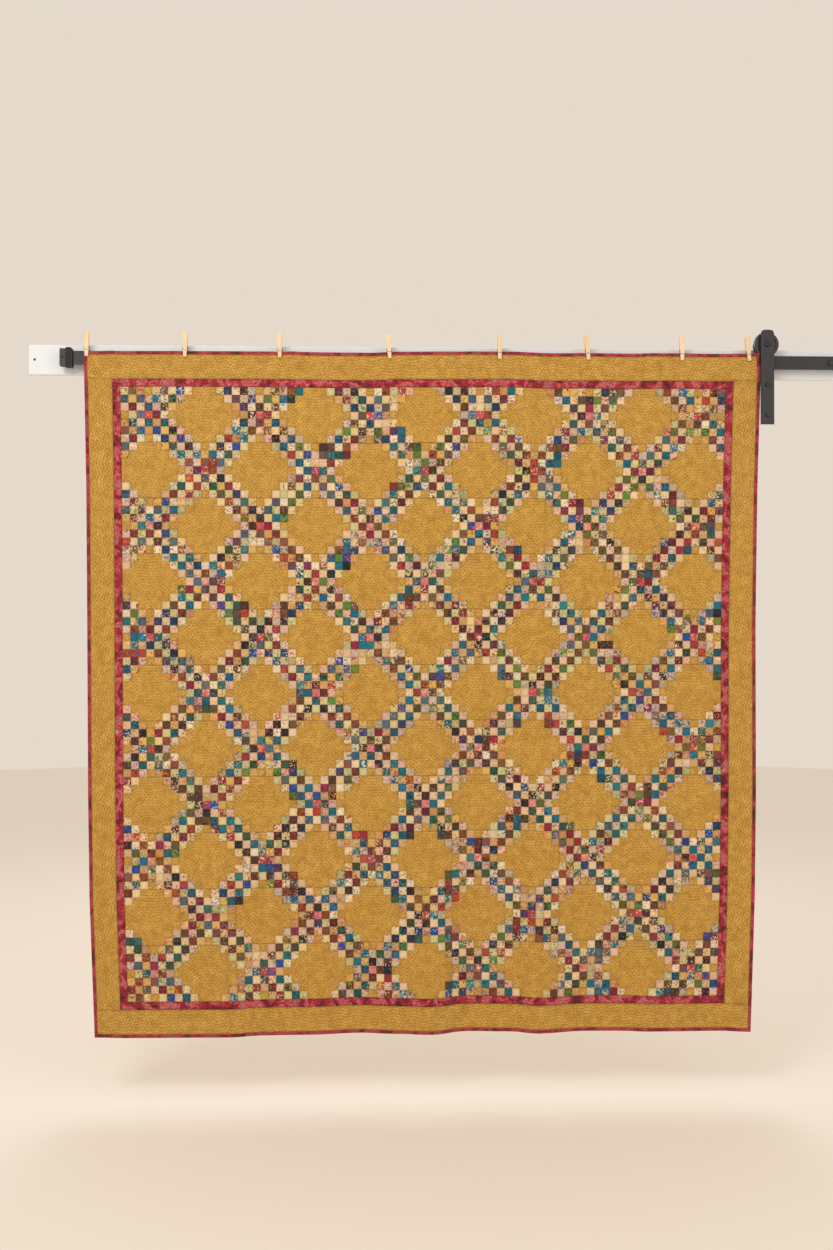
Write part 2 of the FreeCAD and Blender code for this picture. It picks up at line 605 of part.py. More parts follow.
def hanger_strap():
    """Flat bar with an arched, chamfered top, drilled for the axle and two door bolts."""
    body = doc.addObject("PartDesign::Body", "HangerStrap")
    sketch = body.newObject("Sketcher::SketchObject", "StrapOutline")
    plane = next(f for f in body.Origin.OriginFeatures if f.Role == "XZ_Plane")
    sketch.AttachmentSupport = (plane, [""])
    sketch.MapMode = "FlatFace"
    half = size("strap_width") / 2
    top = size("strap_above")
    low = top - size("strap_length")
    corner = size("strap_chamfer")
    crown = size("strap_crown")
    shoulder = top - crown
    flat = half - size("strap_nose")
    points = [(-flat, shoulder), (-half, shoulder - corner), (-half, low), (half, low),
              (half, shoulder - corner), (flat, shoulder)]
    for start, end in zip(points, points[1:]):
        sketch.addGeometry(Part.LineSegment(FreeCAD.Vector(*start, 0), FreeCAD.Vector(*end, 0)))
    sketch.addGeometry(Part.Arc(FreeCAD.Vector(flat, shoulder, 0), FreeCAD.Vector(0, top, 0),
                                FreeCAD.Vector(-flat, shoulder, 0)))
    for i in range(4):
        sketch.addConstraint(Sketcher.Constraint("Coincident", i, 2, i + 1, 1))
    sketch.addConstraint(Sketcher.Constraint("Coincident", 5, 1, 4, 2))
    sketch.addConstraint(Sketcher.Constraint("Coincident", 5, 2, 0, 1))
    sketch.addConstraint(Sketcher.Constraint("Vertical", 1))
    sketch.addConstraint(Sketcher.Constraint("Vertical", 3))
    sketch.addConstraint(Sketcher.Constraint("Symmetric", 2, 1, 2, 2, -2))
    sketch.addConstraint(Sketcher.Constraint("Symmetric", 0, 1, 4, 2, -2))
    sketch.addConstraint(Sketcher.Constraint("Horizontal", 1, 1, 3, 2))
    driven = {
        "width": (Sketcher.Constraint("DistanceX", 2, 1, 2, 2, 2 * half), "strap_width"),
        "foot": (Sketcher.Constraint("DistanceY", 2, 1, -1, 1, -low),
                 "strap_length - strap_above"),
        "shoulder": (Sketcher.Constraint("DistanceY", -1, 1, 0, 1, shoulder),
                     "strap_above - strap_crown"),
        "corner": (Sketcher.Constraint("DistanceY", 0, 2, 0, 1, corner), "strap_chamfer"),
        "nose": (Sketcher.Constraint("DistanceX", 4, 2, 4, 1, half - flat), "strap_nose"),
        "crown": (Sketcher.Constraint("Radius", 5, (flat ** 2 + crown ** 2) / (2 * crown)),
                  "( ( strap_width / 2 - strap_nose ) ^ 2 + strap_crown ^ 2 )"
                  " / ( 2 * strap_crown )"),
    }
    for name, (constraint, _) in driven.items():
        index = sketch.addConstraint(constraint)
        sketch.renameConstraint(index, name)
    doc.recompute()
    for name, (_, text) in driven.items():
        sketch.setExpression(f"Constraints.{name}", rule(text))
    pad = body.newObject("PartDesign::Pad", "StrapPad")
    pad.Profile = sketch
    bind(pad, Length="strap_thick")
    doc.recompute()

    drill = body.newObject("Sketcher::SketchObject", "StrapHoles")
    drill.AttachmentSupport = (plane, [""])
    drill.MapMode = "FlatFace"
    spots = [("axle", "0", "axle_radius + hole_slip"),
             ("upper", "door_bolt_first", "door_bolt_radius + hole_slip"),
             ("lower", "door_bolt_first + door_bolt_pitch", "door_bolt_radius + hole_slip")]
    values = [0.0, size("door_bolt_first"), size("door_bolt_first") + size("door_bolt_pitch")]
    for i, ((name, drop, radius), down) in enumerate(zip(spots, values)):
        first = size("axle_radius") if name == "axle" else size("door_bolt_radius")
        drill.addGeometry(Part.Circle(FreeCAD.Vector(0, -down, 0), FreeCAD.Vector(0, 0, 1),
                                      first + size("hole_slip")))
        index = drill.addConstraint(Sketcher.Constraint("Radius", i, first + size("hole_slip")))
        drill.renameConstraint(index, name + "_radius")
        drill.setExpression(f"Constraints.{name}_radius", rule(radius))
        if name == "axle":
            drill.addConstraint(Sketcher.Constraint("Coincident", i, 3, -1, 1))
            continue
        drill.addConstraint(Sketcher.Constraint("PointOnObject", i, 3, -2))
        index = drill.addConstraint(Sketcher.Constraint("DistanceY", i, 3, -1, 1, down))
        drill.renameConstraint(index, name + "_drop")
        drill.setExpression(f"Constraints.{name}_drop", rule(drop))
    pocket = body.newObject("PartDesign::Pocket", "StrapDrilling")
    pocket.Profile = drill
    pocket.Type = "ThroughAll"
    pocket.Midplane = True
    body.Tip = pocket
    doc.recompute()
    place(body, AXLE_X, STRAP_BACK, AXLE_Z)
    node(body, "hanger_strap")


def hanger_hardware():
    axle_length = ("strap_thick + 2 * strap_to_wheel + wheel_width + axle_nut_high"
                   " + axle_past_nut")
    head = cone("AxleHead", "axle_face_radius", "axle_head_radius", "axle_head_high",
                (AXLE_X, STRAP_FRONT + " - axle_head_high", AXLE_Z))
    key = hexagon("AxleKey", "axle_key", f"axle_key_deep + {PAST}",
                  (AXLE_X, STRAP_FRONT + f" - axle_head_high - {PAST}", AXLE_Z))
    shank = rod("AxleShank", "axle_radius", axle_length, (AXLE_X, STRAP_FRONT, AXLE_Z))
    node(cut("AxleBolt", fuse("AxleBlank", head, shank), key), "hanger_axle_bolt")

    washers = []
    gap = "strap_to_wheel - soft_clearance"
    for name, start in (("Front", STRAP_BACK), ("Back", WHEEL_BACK + " + soft_clearance")):
        ring = rod(f"AxleWasher{name}Disc", "axle_washer_radius", gap, (AXLE_X, start, AXLE_Z))
        bore = rod(f"AxleWasher{name}Bore", "axle_radius + axle_slip", gap + f" + 2 * {PAST}",
                   (AXLE_X, start + f" - {PAST}", AXLE_Z))
        washers.append(cut(f"AxleWasher{name}", ring, bore))
    node(group("AxleWashers", washers), "hanger_axle_washers")

    nut_start = WHEEL_BACK + " + strap_to_wheel"
    nut = hexagon("AxleNutHex", "axle_nut_across", "axle_nut_high", (AXLE_X, nut_start, AXLE_Z))
    bore = rod("AxleNutBore", "axle_radius + axle_slip", f"axle_nut_high + 2 * {PAST}",
               (AXLE_X, nut_start + f" - {PAST}", AXLE_Z))
    node(cut("AxleNut", nut, bore), "hanger_axle_nut")

    bolts = []
    for i in range(2):
        z = f"{AXLE_Z} - door_bolt_first - {i} * door_bolt_pitch"
        hexed = hexagon(f"DoorBoltHex{i}", "door_bolt_head", "door_bolt_head_high",
                        (AXLE_X, STRAP_FRONT + " - door_bolt_head_high", z))
        turned = cone(f"DoorBoltTurned{i}", "door_bolt_face_radius", "door_bolt_skirt_radius",
                      "door_bolt_head_high", (AXLE_X, STRAP_FRONT + " - door_bolt_head_high", z))
        head = common(f"DoorBoltHead{i}", hexed, turned)
        shank = rod(f"DoorBoltShank{i}", "door_bolt_radius", "strap_thick",
                    (AXLE_X, STRAP_FRONT, z))
        thread = rod(f"DoorBoltThread{i}", "door_bolt_thread_radius", "door_bolt_reach",
                     (AXLE_X, STRAP_BACK, z))
        bolts.append(fuse(f"DoorBolt{i}", head, shank, thread))
    node(group("DoorBolts", bolts), "hanger_door_bolts")


def wheel():
    """Grooved wheel, dished on both faces, on a bearing."""
    centre = (AXLE_X, WHEEL_FRONT, AXLE_Z)
    disc = rod("WheelDisc", "wheel_rim_radius", "wheel_width", centre)
    groove_width = "( rail_thick + 2 * wheel_groove_slip )"
    groove_start = f"{RAIL_MIDDLE} - {groove_width} / 2"
    band = rod("GrooveBand", f"wheel_rim_radius + {PAST}", groove_width, (AXLE_X, groove_start, AXLE_Z))
    tread = rod("GrooveTread", "wheel_tread_radius", groove_width + f" + 2 * {PAST}",
                (AXLE_X, groove_start + f" - {PAST}", AXLE_Z))
    tools = [cut("Groove", band, tread)]
    for side, start in (("Front", WHEEL_FRONT + f" - {PAST}"),
                        ("Back", WHEEL_BACK + " - wheel_dish_depth")):
        ring = rod(f"Dish{side}Outer", "wheel_dish_outer", f"wheel_dish_depth + {PAST}",
                   (AXLE_X, start, AXLE_Z))
        boss = rod(f"Dish{side}Boss", "wheel_dish_inner", f"wheel_dish_depth + 3 * {PAST}",
                   (AXLE_X, start + f" - {PAST}", AXLE_Z))
        tools.append(cut(f"Dish{side}", ring, boss))
    tools.append(rod("WheelBore", "bearing_radius", f"wheel_width + 2 * {PAST}",
                     (AXLE_X, WHEEL_FRONT + f" - {PAST}", AXLE_Z)))
    node(cut("Wheel", disc, *tools), "hanger_wheel")

    race = rod("BearingRace", "bearing_radius", "wheel_width", centre)
    bore = rod("BearingBore", "axle_radius + axle_slip", f"wheel_width + 2 * {PAST}",
               (AXLE_X, WHEEL_FRONT + f" - {PAST}", AXLE_Z))
    node(cut("Bearing", race, bore), "wheel_bearing")


header_board()
board_screws()
rail()
rings("Spacer", "rail_spacers", "spacer_radius", "standoff", RAIL_BACK)
rings("Washer", "rail_washers", "washer_radius", "washer_thick", RAIL_FRONT + " - washer_thick")
rail_bolts()
end_stop("left")
end_stop("right")
quilt()
hanger_strap()
hanger_hardware()
wheel()
clothespins()
doc.recompute()

faults = [obj.Name for obj in doc.Objects if "Invalid" in obj.State or "Error" in obj.State]
faults += [
    obj.Label for obj in NODES
    if obj.Shape.isNull() or not obj.Shape.isValid() or not obj.Shape.Solids
]
if faults:
    raise RuntimeError("failed objects: " + ", ".join(faults))

os.makedirs("parts", exist_ok=True)
for obj in NODES:
    obj.Shape.exportStep(os.path.join("parts", obj.Label + ".step"))
    print(f"{obj.Label:24s} solids {len(obj.Shape.Solids):2d} volume {obj.Shape.Volume:12.1f}")
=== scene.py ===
import json
import math

import bmesh
import bpy
import numpy as np
from mathutils import Matrix, Vector

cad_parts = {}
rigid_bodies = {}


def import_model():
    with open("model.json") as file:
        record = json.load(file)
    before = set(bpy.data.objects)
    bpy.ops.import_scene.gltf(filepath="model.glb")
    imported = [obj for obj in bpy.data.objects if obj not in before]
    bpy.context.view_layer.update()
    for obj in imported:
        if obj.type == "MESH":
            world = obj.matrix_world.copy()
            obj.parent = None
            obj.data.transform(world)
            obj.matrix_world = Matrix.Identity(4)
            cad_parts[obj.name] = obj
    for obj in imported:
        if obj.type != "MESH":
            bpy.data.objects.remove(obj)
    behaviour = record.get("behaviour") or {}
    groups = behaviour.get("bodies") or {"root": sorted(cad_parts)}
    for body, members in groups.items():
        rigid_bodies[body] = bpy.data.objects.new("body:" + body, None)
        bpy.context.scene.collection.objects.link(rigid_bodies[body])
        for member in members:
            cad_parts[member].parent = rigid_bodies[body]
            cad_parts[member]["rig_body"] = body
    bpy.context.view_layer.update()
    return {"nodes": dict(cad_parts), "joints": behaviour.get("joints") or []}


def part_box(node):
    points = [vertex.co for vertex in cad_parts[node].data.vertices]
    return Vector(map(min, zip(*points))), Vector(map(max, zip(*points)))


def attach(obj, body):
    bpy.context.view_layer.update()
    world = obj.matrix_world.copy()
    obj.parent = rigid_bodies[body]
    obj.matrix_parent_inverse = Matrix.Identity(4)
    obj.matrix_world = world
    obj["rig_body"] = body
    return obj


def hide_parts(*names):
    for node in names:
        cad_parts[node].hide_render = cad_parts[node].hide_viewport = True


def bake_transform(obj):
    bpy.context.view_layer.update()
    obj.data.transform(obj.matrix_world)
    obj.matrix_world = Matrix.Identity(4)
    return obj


# A patchwork quilt hung by clothespins from a flat steel door rail on a painted board.
# Metres, in the part's own frame: X along the rail, Y into the wall, Z up.

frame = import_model()
scene = bpy.context.scene
MM = 0.001


def collection_add(name, data):
    piece = bpy.data.objects.new(name, data)
    scene.collection.objects.link(piece)
    return piece


def places_of(mesh):
    """The place of every vertex, one row each."""
    places = np.empty(len(mesh.vertices) * 3)
    mesh.vertices.foreach_get("co", places)
    return places.reshape(-1, 3)


def verts_in(parts):
    """The vertices among what a bmesh operator gives back."""
    return [part for part in parts if isinstance(part, bmesh.types.BMVert)]


# ---- camera, first, so that every other piece is made for its view ----

def stand_camera():
    """At chest height across the room, left of the quilt's middle, level but for half a degree."""
    lens = bpy.data.cameras.new("room_camera")
    lens.lens, lens.sensor_width = 39.9, 36.0
    camera = collection_add("room_camera", lens)
    camera.location = (-0.321, -4.155, -0.8245)
    level, up, right = math.radians(90), math.radians(0.53), math.radians(2.1)
    camera.rotation_euler = (level + up, 0, -right)
    scene.camera = camera


stand_camera()


# ---- the flat quilt ----
# Every cloth is first laid flat: x from the quilt's left edge, y up from its bottom edge and z
# out from its back plane, all in metres. hang() then takes each point to where it hangs.

def span(node):
    low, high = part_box(node)
    return Vector(low), Vector(high)


whole_low, whole_high = span("quilt_binding")
LEFT, BOTTOM, BACK = whole_low.x, whole_low.z, whole_high.y
SIDE = whole_high.x - whole_low.x
RAIL_LOW, RAIL_HIGH = span("rail")


def inset_of(node):
    """How far a cloth's left edge lies inside the quilt's."""
    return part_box(node)[0][0] - LEFT


FIELD_IN = inset_of("quilt_field")
INNER_IN = inset_of("quilt_inner_border")
FIELD_SIDE = SIDE - 2 * FIELD_IN
BOUND = 9.7 * MM                            # the binding's width on the front
RAW_EDGE = 3 * MM                           # wadding and backing end this far inside the edge
PATCHES = 77
BLOCK = 7                                   # patches along a block's side
PATCH = FIELD_SIDE / PATCHES
TOP_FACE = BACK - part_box("quilt_field")[0][1]          # front of the pieced top
BACKING_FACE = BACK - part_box("quilt_backing")[1][1]    # back of the backing

PINS = [joint for joint in frame["joints"] if joint["name"].endswith("_squeeze")]
BOLT_END = 147 * MM                         # from a rail's end to its last bolt
BOLTS = np.linspace(RAIL_LOW.x + BOLT_END, RAIL_HIGH.x - BOLT_END, 5)


def ease(t):
    """Rises smoothly from 0 to 1."""
    t = np.clip(t, 0, 1)
    return t * t * (3 - 2 * t)


# Where the hanging cloth stands out towards the room (1) or back towards the wall (-1) at the
# bottom edge, along its width from left to right.
FOLDS = [(0.0, 0.3), (0.05, 0.7), (0.2, 1.0), (0.25, 0.1), (0.32, 0.0), (0.395, -0.7),
         (0.46, 0.2), (0.505, 0.75), (0.565, -0.9), (0.63, -0.6), (0.675, 0.6), (0.75, -0.4),
         (0.8, -0.3), (0.85, 0.3), (0.95, 0.1), (1.0, 0.9)]
# How far its sides draw in as it hangs: share of the drop, left side and right side in mm.
DRAWN_IN = [(0.0, 0, 0), (0.2, 9, 13), (0.4, 13, 21), (0.65, 17, 23), (0.8, 22, 28),
            (1.0, 38, 42)]
# How high its top edge hangs from the clothespins along its width, in mm over its plain height.
TOP_EDGE = [(0.0, -0.5), (0.15, 2.0), (0.28, 2.5), (0.37, 0.8), (0.42, 0.8), (0.46, 5.0),
            (0.54, 6.5), (0.62, 8.0), (0.69, 3.5), (0.74, 5.0), (0.8, 4.2), (0.87, 6.5),
            (0.93, 5.5), (1.0, 7.5)]
FOLD_DEPTH = 22 * MM                        # of the folds at the bottom edge
RIPPLE = 2.6 * MM                           # of the soft unevenness all over the cloth
BULGE = 1.2 * MM                            # of the top edge between two clothespins
CAGE = 64                                   # cells along the cage's side


def smooth_line(points, share):
    """A line that eases from each listed point to the next."""
    places, heights = (np.array(column) for column in zip(*points))
    first = np.clip(np.searchsorted(places, share, side="right") - 1, 0, len(places) - 2)
    t = (share - places[first]) / (places[first + 1] - places[first])
    return heights[first] + (heights[first + 1] - heights[first]) * ease(t)


def free_of_pins(share):
    """0 at each clothespin, rising to 1 half way to the next."""
    pins = np.array([(joint["pos_m"][0] - LEFT) / SIDE for joint in PINS])
    first = np.clip(np.searchsorted(pins, share, side="right") - 1, 0, len(pins) - 2)
    t = np.clip((share - pins[first]) / (pins[first + 1] - pins[first]), 0, 1)
    return 4 * t * (1 - t)


def drape_cage():
    """The large shape of the hanging quilt: a square of points, rows from the top edge down."""
    share, drop = np.meshgrid(np.linspace(0, 1, CAGE + 1), np.linspace(0, 1, CAGE + 1))
    grow = ease((drop - 0.05) / 0.95) ** 0.8          # folds deepen from just below the rail
    out = FOLD_DEPTH * grow * smooth_line(FOLDS, share)
    soft = np.sin(2 * np.pi * (3.3 * share + 0.2)) + 0.7 * np.sin(2 * np.pi * (7.1 * share + 0.6))
    out += RIPPLE * soft * ease((drop - 0.04) / 0.2) * (1 - 0.6 * drop)
    out += BULGE * free_of_pins(share) * np.exp(-drop / 0.02)
    step = SIDE / CAGE
    across = np.sqrt(step ** 2 - np.diff(out, axis=1) ** 2)
    down = np.sqrt(step ** 2 - np.diff(out, axis=0) ** 2)
    x = np.pad(np.cumsum(across, axis=1), ((0, 0), (1, 0)))
    places, from_left, from_right = (np.array(column) for column in zip(*DRAWN_IN))
    left = np.interp(drop[:, :1], places, from_left) * MM
    right = SIDE - np.interp(drop[:, :1], places, from_right) * MM
    x = left + x * (right - left) / x[:, -1:]
    fall = np.pad(np.cumsum(down, axis=0), ((1, 0), (0, 0)))
    z = SIDE - fall + smooth_line(TOP_EDGE, share) * MM * np.exp(-drop / 0.3)
    return np.stack([LEFT + x, BACK - TOP_FACE / 2 - out, BOTTOM + z], axis=-1)


cage = drape_cage()


def on_cage(across, down):
    """Points on the smooth surface through the cage, from shares of its width and its drop."""
    def taps(share):
        """The cell that a share falls in, and the weights of the four cage lines round it."""
        place = np.clip(share, 0, 1) * CAGE
        cell = np.clip(np.floor(place).astype(int), 0, CAGE - 1)
        t = place - cell + (share - np.clip(share, 0, 1)) * CAGE
        weights = np.stack([
            -t / 2 + t ** 2 - t ** 3 / 2,
            1 - 2.5 * t ** 2 + 1.5 * t ** 3,
            t / 2 + 2 * t ** 2 - 1.5 * t ** 3,
            -t ** 2 / 2 + t ** 3 / 2,
        ])
        return cell, weights

    padded = np.pad(cage, ((1, 1), (1, 1), (0, 0)), mode="reflect", reflect_type="odd")
    column, column_weights = taps(across)
    row, row_weights = taps(down)
    points = np.zeros((len(across), 3))
    for i in range(4):
        for j in range(4):
            weight = row_weights[i] * column_weights[j]
            points += weight[:, None] * padded[row + i, column + j]
    return points


def over_bolts(x, z):
    """How far the cloth is pushed out where it passes over a bolt head."""
    head_out, head_radius, tent = 7.1 * MM, 8.5 * MM, 34 * MM
    push = np.zeros(len(x))
    for bolt in BOLTS[BOLTS < LEFT + SIDE]:
        away = np.hypot(x - bolt, z)
        push = np.maximum(push, head_out * (1 - ease((away - head_radius) / tent)))
    return push


def pinched(x, z):
    """1 in the open cloth, less where a clothespin's jaws squeeze it."""
    jaw_half, jaw_foot, fade, pinch = 9 * MM, -14 * MM, 22 * MM, 0.3
    squeeze = np.zeros(len(x))
    for joint in PINS:
        beside = np.exp(-((x - joint["pos_m"][0]) / jaw_half) ** 4)
        squeeze = np.maximum(squeeze, beside * ease((z - jaw_foot) / fade))
    return 1 - pinch * squeeze


def clear_of_rack(points, flat):
    """The top edge leans back over the rail, and its right corner folds past the wheel."""
    lean, corner_out, corner_in = 0.2, 9.5 * MM, 8 * MM
    points[:, 1] += lean * np.maximum(points[:, 2] - RAIL_HIGH.z + 1 * MM, 0)
    away = np.hypot(SIDE - flat[:, 0], SIDE - flat[:, 1])
    points[:, 1] -= corner_out * np.exp(-(away / (26 * MM)) ** 2)
    points[:, 0] -= corner_in * np.exp(-(away / (34 * MM)) ** 2)


def hang(piece, relief=None):
    """Takes a flat cloth to where it hangs; relief raises its outer face, in metres."""
    mesh = piece.data
    flat = places_of(mesh)
    across, down = flat[:, 0] / SIDE, 1 - flat[:, 1] / SIDE
    height = flat[:, 2].copy()
    if relief is not None:
        height += relief(flat)
    step = 1e-3
    middle = on_cage(across, down)
    along = on_cage(across + step, down) - on_cage(across - step, down)
    upward = on_cage(across, down - step) - on_cage(across, down + step)
    normal = np.cross(along, upward)
    normal /= np.linalg.norm(normal, axis=1)[:, None]
    thin = pinched(middle[:, 0], middle[:, 2])
    height = (height * thin) - TOP_FACE / 2
    points = middle + normal * height[:, None]
    points[:, 1] -= over_bolts(points[:, 0], points[:, 2])
    clear_of_rack(points, flat)
    mesh.vertices.foreach_set("co", points.ravel())
    mesh.update()


# ---- the pattern of the pieced top ----
# The field is a square of blocks. Every second block is a chequer of small patches and the
# blocks between are gold with chequered corners, so the small patches make crossing chains.

def in_block(row, column):
    return row % BLOCK, column % BLOCK


def is_gold_block(row, column):
    return (row // BLOCK + column // BLOCK) % 2 == 1


def is_gold(row, column):
    """True where a gold block is plain, and for four lone patches of each chequered block."""
    down, across = in_block(row, column)
    last = BLOCK - 1
    if is_gold_block(row, column):
        corner = min(down, last - down) + min(across, last - across)
        return corner > 1
    middle = BLOCK // 2
    return (down in (0, last) and across == middle) or (across in (0, last) and down == middle)


DEEP = ["#0e6b7c", "#13708f", "#0f6478", "#116a86", "#1d4f9a", "#153f6b", "#27604a", "#1d1b20",
        "#2a2730", "#9b2239", "#8a1f33", "#6b1f2d", "#96482a", "#6a4023", "#55412b", "#66672c",
        "#5f8a35", "#0f7280", "#4f6a7c", "#bd4630", "#257f83", "#94481f", "#3f5a35", "#7a5a2a",
        "#4a2f1e", "#833a22"]
PALE = ["#e3c899", "#dfc08c", "#e6c59a", "#dfbb9d", "#d9b195", "#cfc389", "#d7aa58", "#d8b28c",
        "#bcb07c", "#cda672", "#e8d3ae", "#dcc084", "#c9955a", "#c2a893"]
ROSE = ["#b8404a", "#c4616a", "#a32f3f", "#c9776f"]     # middle patch of a chequered block
PRINTS = ["#b5402f", "#2f6f7a", "#6e8c3f", "#c5782c", "#7b5a86", "#bb5064", "#3c5f9c", "#4a3527",
          "#5b6b2c", "#8a2b33"]
ACCENTS = ["#f0e0c4", "#2b2326", "#7d2a34", "#356b4a", "#d9a441", "#2a5f86"]
GOLD, GOLD_SHADE = "#c9973f", "#b27f2d"     # ground and print colours kept for gold patches


def linear(code):
    """An sRGB hex colour as linear red, green, blue and alpha."""
    parts = [int(code[i:i + 2], 16) / 255 for i in (1, 3, 5)]
    return tuple(c / 12.92 if c <= 0.04045 else ((c + 0.055) / 1.055) ** 2.4 for c in parts) + (1,)


def draw_patches():
    """Ground, print and accent colours and print kind of each patch, from a fixed draw."""
    draw = np.random.default_rng(77)
    ground = np.ones((PATCHES, PATCHES, 4))
    figure = np.ones((PATCHES, PATCHES, 4))
    accent = np.ones((PATCHES, PATCHES, 4))
    motif = np.zeros((PATCHES, PATCHES, 3))
    for row in range(PATCHES):
        for column in range(PATCHES):
            deep, pale, mark = draw.integers(len(DEEP)), draw.integers(len(PALE)), draw.random()
            print_code = PRINTS[draw.integers(len(PRINTS))]
            tone = 0.60 + 0.36 * draw.random()         # dyes from deep to clear
            # which piece of the printed cloth the patch is cut from, and which kind of print
            motif[row, column] = (*draw.random(2) * 40, draw.random())
            swapped = draw.random() < 0.05             # a few patches break the chequer
            centre = in_block(row, column) == (BLOCK // 2, BLOCK // 2)
            if is_gold(row, column):
                cloth, on_cloth = linear(GOLD), linear(GOLD_SHADE)
            elif centre and not is_gold_block(row, column):
                cloth, on_cloth, tone = linear(ROSE[deep % len(ROSE)]), linear(PALE[pale]), 1.1
            elif ((row + column) % 2 == 1) != swapped:
                cloth = linear(DEEP[deep])
                on_cloth = linear("#1d1b20" if mark < 0.45 else DEEP[(deep + 5) % len(DEEP)]
                                  if mark < 0.75 else PALE[pale] if mark < 0.88 else print_code)
            else:
                cloth, tone = linear(PALE[pale]), 0.55 + 0.5 * tone
                on_cloth = linear(print_code if mark < 0.6 else PALE[(pale + 3) % len(PALE)])
            ground[row, column] = [*(np.array(cloth[:3]) * tone), 1]
            figure[row, column] = on_cloth
            accent[row, column] = linear(draw.choice(PRINTS if mark < 0.5 else ACCENTS))
    return ground, figure, accent, motif


GROUND, FIGURE, ACCENT, MOTIF = draw_patches()
GOLD_MAP = np.array([[is_gold(r, c) for c in range(PATCHES)] for r in range(PATCHES)])
OPEN_GOLD = GOLD_MAP & np.array([[is_gold_block(r, c) for c in range(PATCHES)]
                                 for r in range(PATCHES)])


def patch_at(flat):
    """Row from the top and column of the patch under each flat point, and the place in it."""
    across = (flat[:, 0] - FIELD_IN) / PATCH
    down = (SIDE - FIELD_IN - flat[:, 1]) / PATCH
    column = np.clip(np.floor(across + 1e-6).astype(int), 0, PATCHES - 1)
    row = np.clip(np.floor(down + 1e-6).astype(int), 0, PATCHES - 1)
    return row, column, across - column, down - row


def seam_share(flat):
    """1 on a seam between patches, falling to 0 inside them; gold sewn to gold shows less."""
    seam_half, gold_seam = 2.2 * MM, 0.4
    row, column, across, down = patch_at(flat)
    groove = np.zeros(len(flat))
    inside, gold = OPEN_GOLD[row, column], GOLD_MAP[row, column]
    for step_row, step_column, away in ((0, -1, across), (0, 1, 1 - across),
                                        (-1, 0, down), (1, 0, 1 - down)):
        beside_row, beside_column = row + step_row, column + step_column
        outside = ((beside_row < 0) | (beside_row >= PATCHES)
                   | (beside_column < 0) | (beside_column >= PATCHES))
        beside = OPEN_GOLD[np.clip(beside_row, 0, PATCHES - 1),
                           np.clip(beside_column, 0, PATCHES - 1)]
        same_block = ((beside_row // BLOCK == row // BLOCK)
                      & (beside_column // BLOCK == column // BLOCK))
        seam = outside | ~(inside & beside & same_block)
        beside_gold = GOLD_MAP[np.clip(beside_row, 0, PATCHES - 1),
                               np.clip(beside_column, 0, PATCHES - 1)]
        deep = np.where(gold & beside_gold & ~outside, gold_seam, 1.0)
        groove = np.maximum(groove, seam * deep * np.exp(-(away * PATCH / seam_half) ** 2))
    return groove


RING = 9 * MM                               # between two quilted lines
BEAD = 9.5 * MM                             # between two puffs along a line
STITCHED = 0.35 * MM                        # height of a quilted line over a seam
PUFF = 0.95 * MM                            # height of a puff over a quilted line
SUNK = 0.15 * MM                            # of a seam under the flat cloth
SWAY_LONG = 47 * MM                         # one sway of the rows along the top and foot
ZIGZAG_LONG = 58 * MM                       # one zigzag of the rows up the sides


def beaded(rows, along):
    """Quilted rows of small puffs, from 0 to 1; each row's puffs sit between the next row's."""
    ridge = 0.5 + 0.5 * np.cos(2 * np.pi * rows)
    puff = 0.5 + 0.5 * np.cos(2 * np.pi * (along / BEAD + 0.5 * (np.rint(rows) % 2)))
    return ridge * (0.2 + 0.8 * puff)


def arches(flat):
    """Quilted scalloped arches over the foot of each gold block, from 0 to 1."""
    block = BLOCK * PATCH
    below, scallop, lobes = 0.12, 0.06, 5       # of a block, of the radius, per arch
    across = ((flat[:, 0] - FIELD_IN) / block) % 1 - 0.5
    over = 1 - ((SIDE - FIELD_IN - flat[:, 1]) / block) % 1
    turn, out = np.arctan2(over, across), np.hypot(across, over + below) * block
    return beaded(out * (1 + scallop * np.abs(np.sin(lobes * turn))) / RING, turn * out)


def border_rows(flat, lengthways):
    """Quilted rows along a border: gently swaying along the top and foot, zigzag up the sides."""
    along, across = (flat[:, 0], flat[:, 1]) if lengthways == "x" else (flat[:, 1], flat[:, 0])
    edge = np.minimum(across, SIDE - across)
    if lengthways == "x":
        sway = 0.25 * np.sin(2 * np.pi * along / SWAY_LONG + 9 * np.sin(along * 3.1))
    else:
        sway = 1.1 * np.abs(2 * (along / ZIGZAG_LONG % 1) - 1)
    return beaded(edge / RING + sway, along), edge


def field_relief(flat):
    """How high the pieced field stands: arches on gold, one plain puff on a printed patch."""
    row, column, _, _ = patch_at(flat)
    puff = 1 - seam_share(flat)
    quilted = np.where(GOLD_MAP[row, column], STITCHED + PUFF * arches(flat), PUFF)
    return puff * quilted - SUNK


def border_relief(inner, outer, lengthways):
    """Quilted rows along a border strip, and seams at both its edges."""
    seam_half = 2.5 * MM

    def relief(flat):
        lines, edge = border_rows(flat, lengthways)
        seam = np.maximum(np.exp(-((edge - outer) / seam_half) ** 2),
                          np.exp(-((edge - inner) / seam_half) ** 2))
        return (1 - seam) * (STITCHED + PUFF * lines) - SUNK
    return relief


# ---- cutting the cloths ----

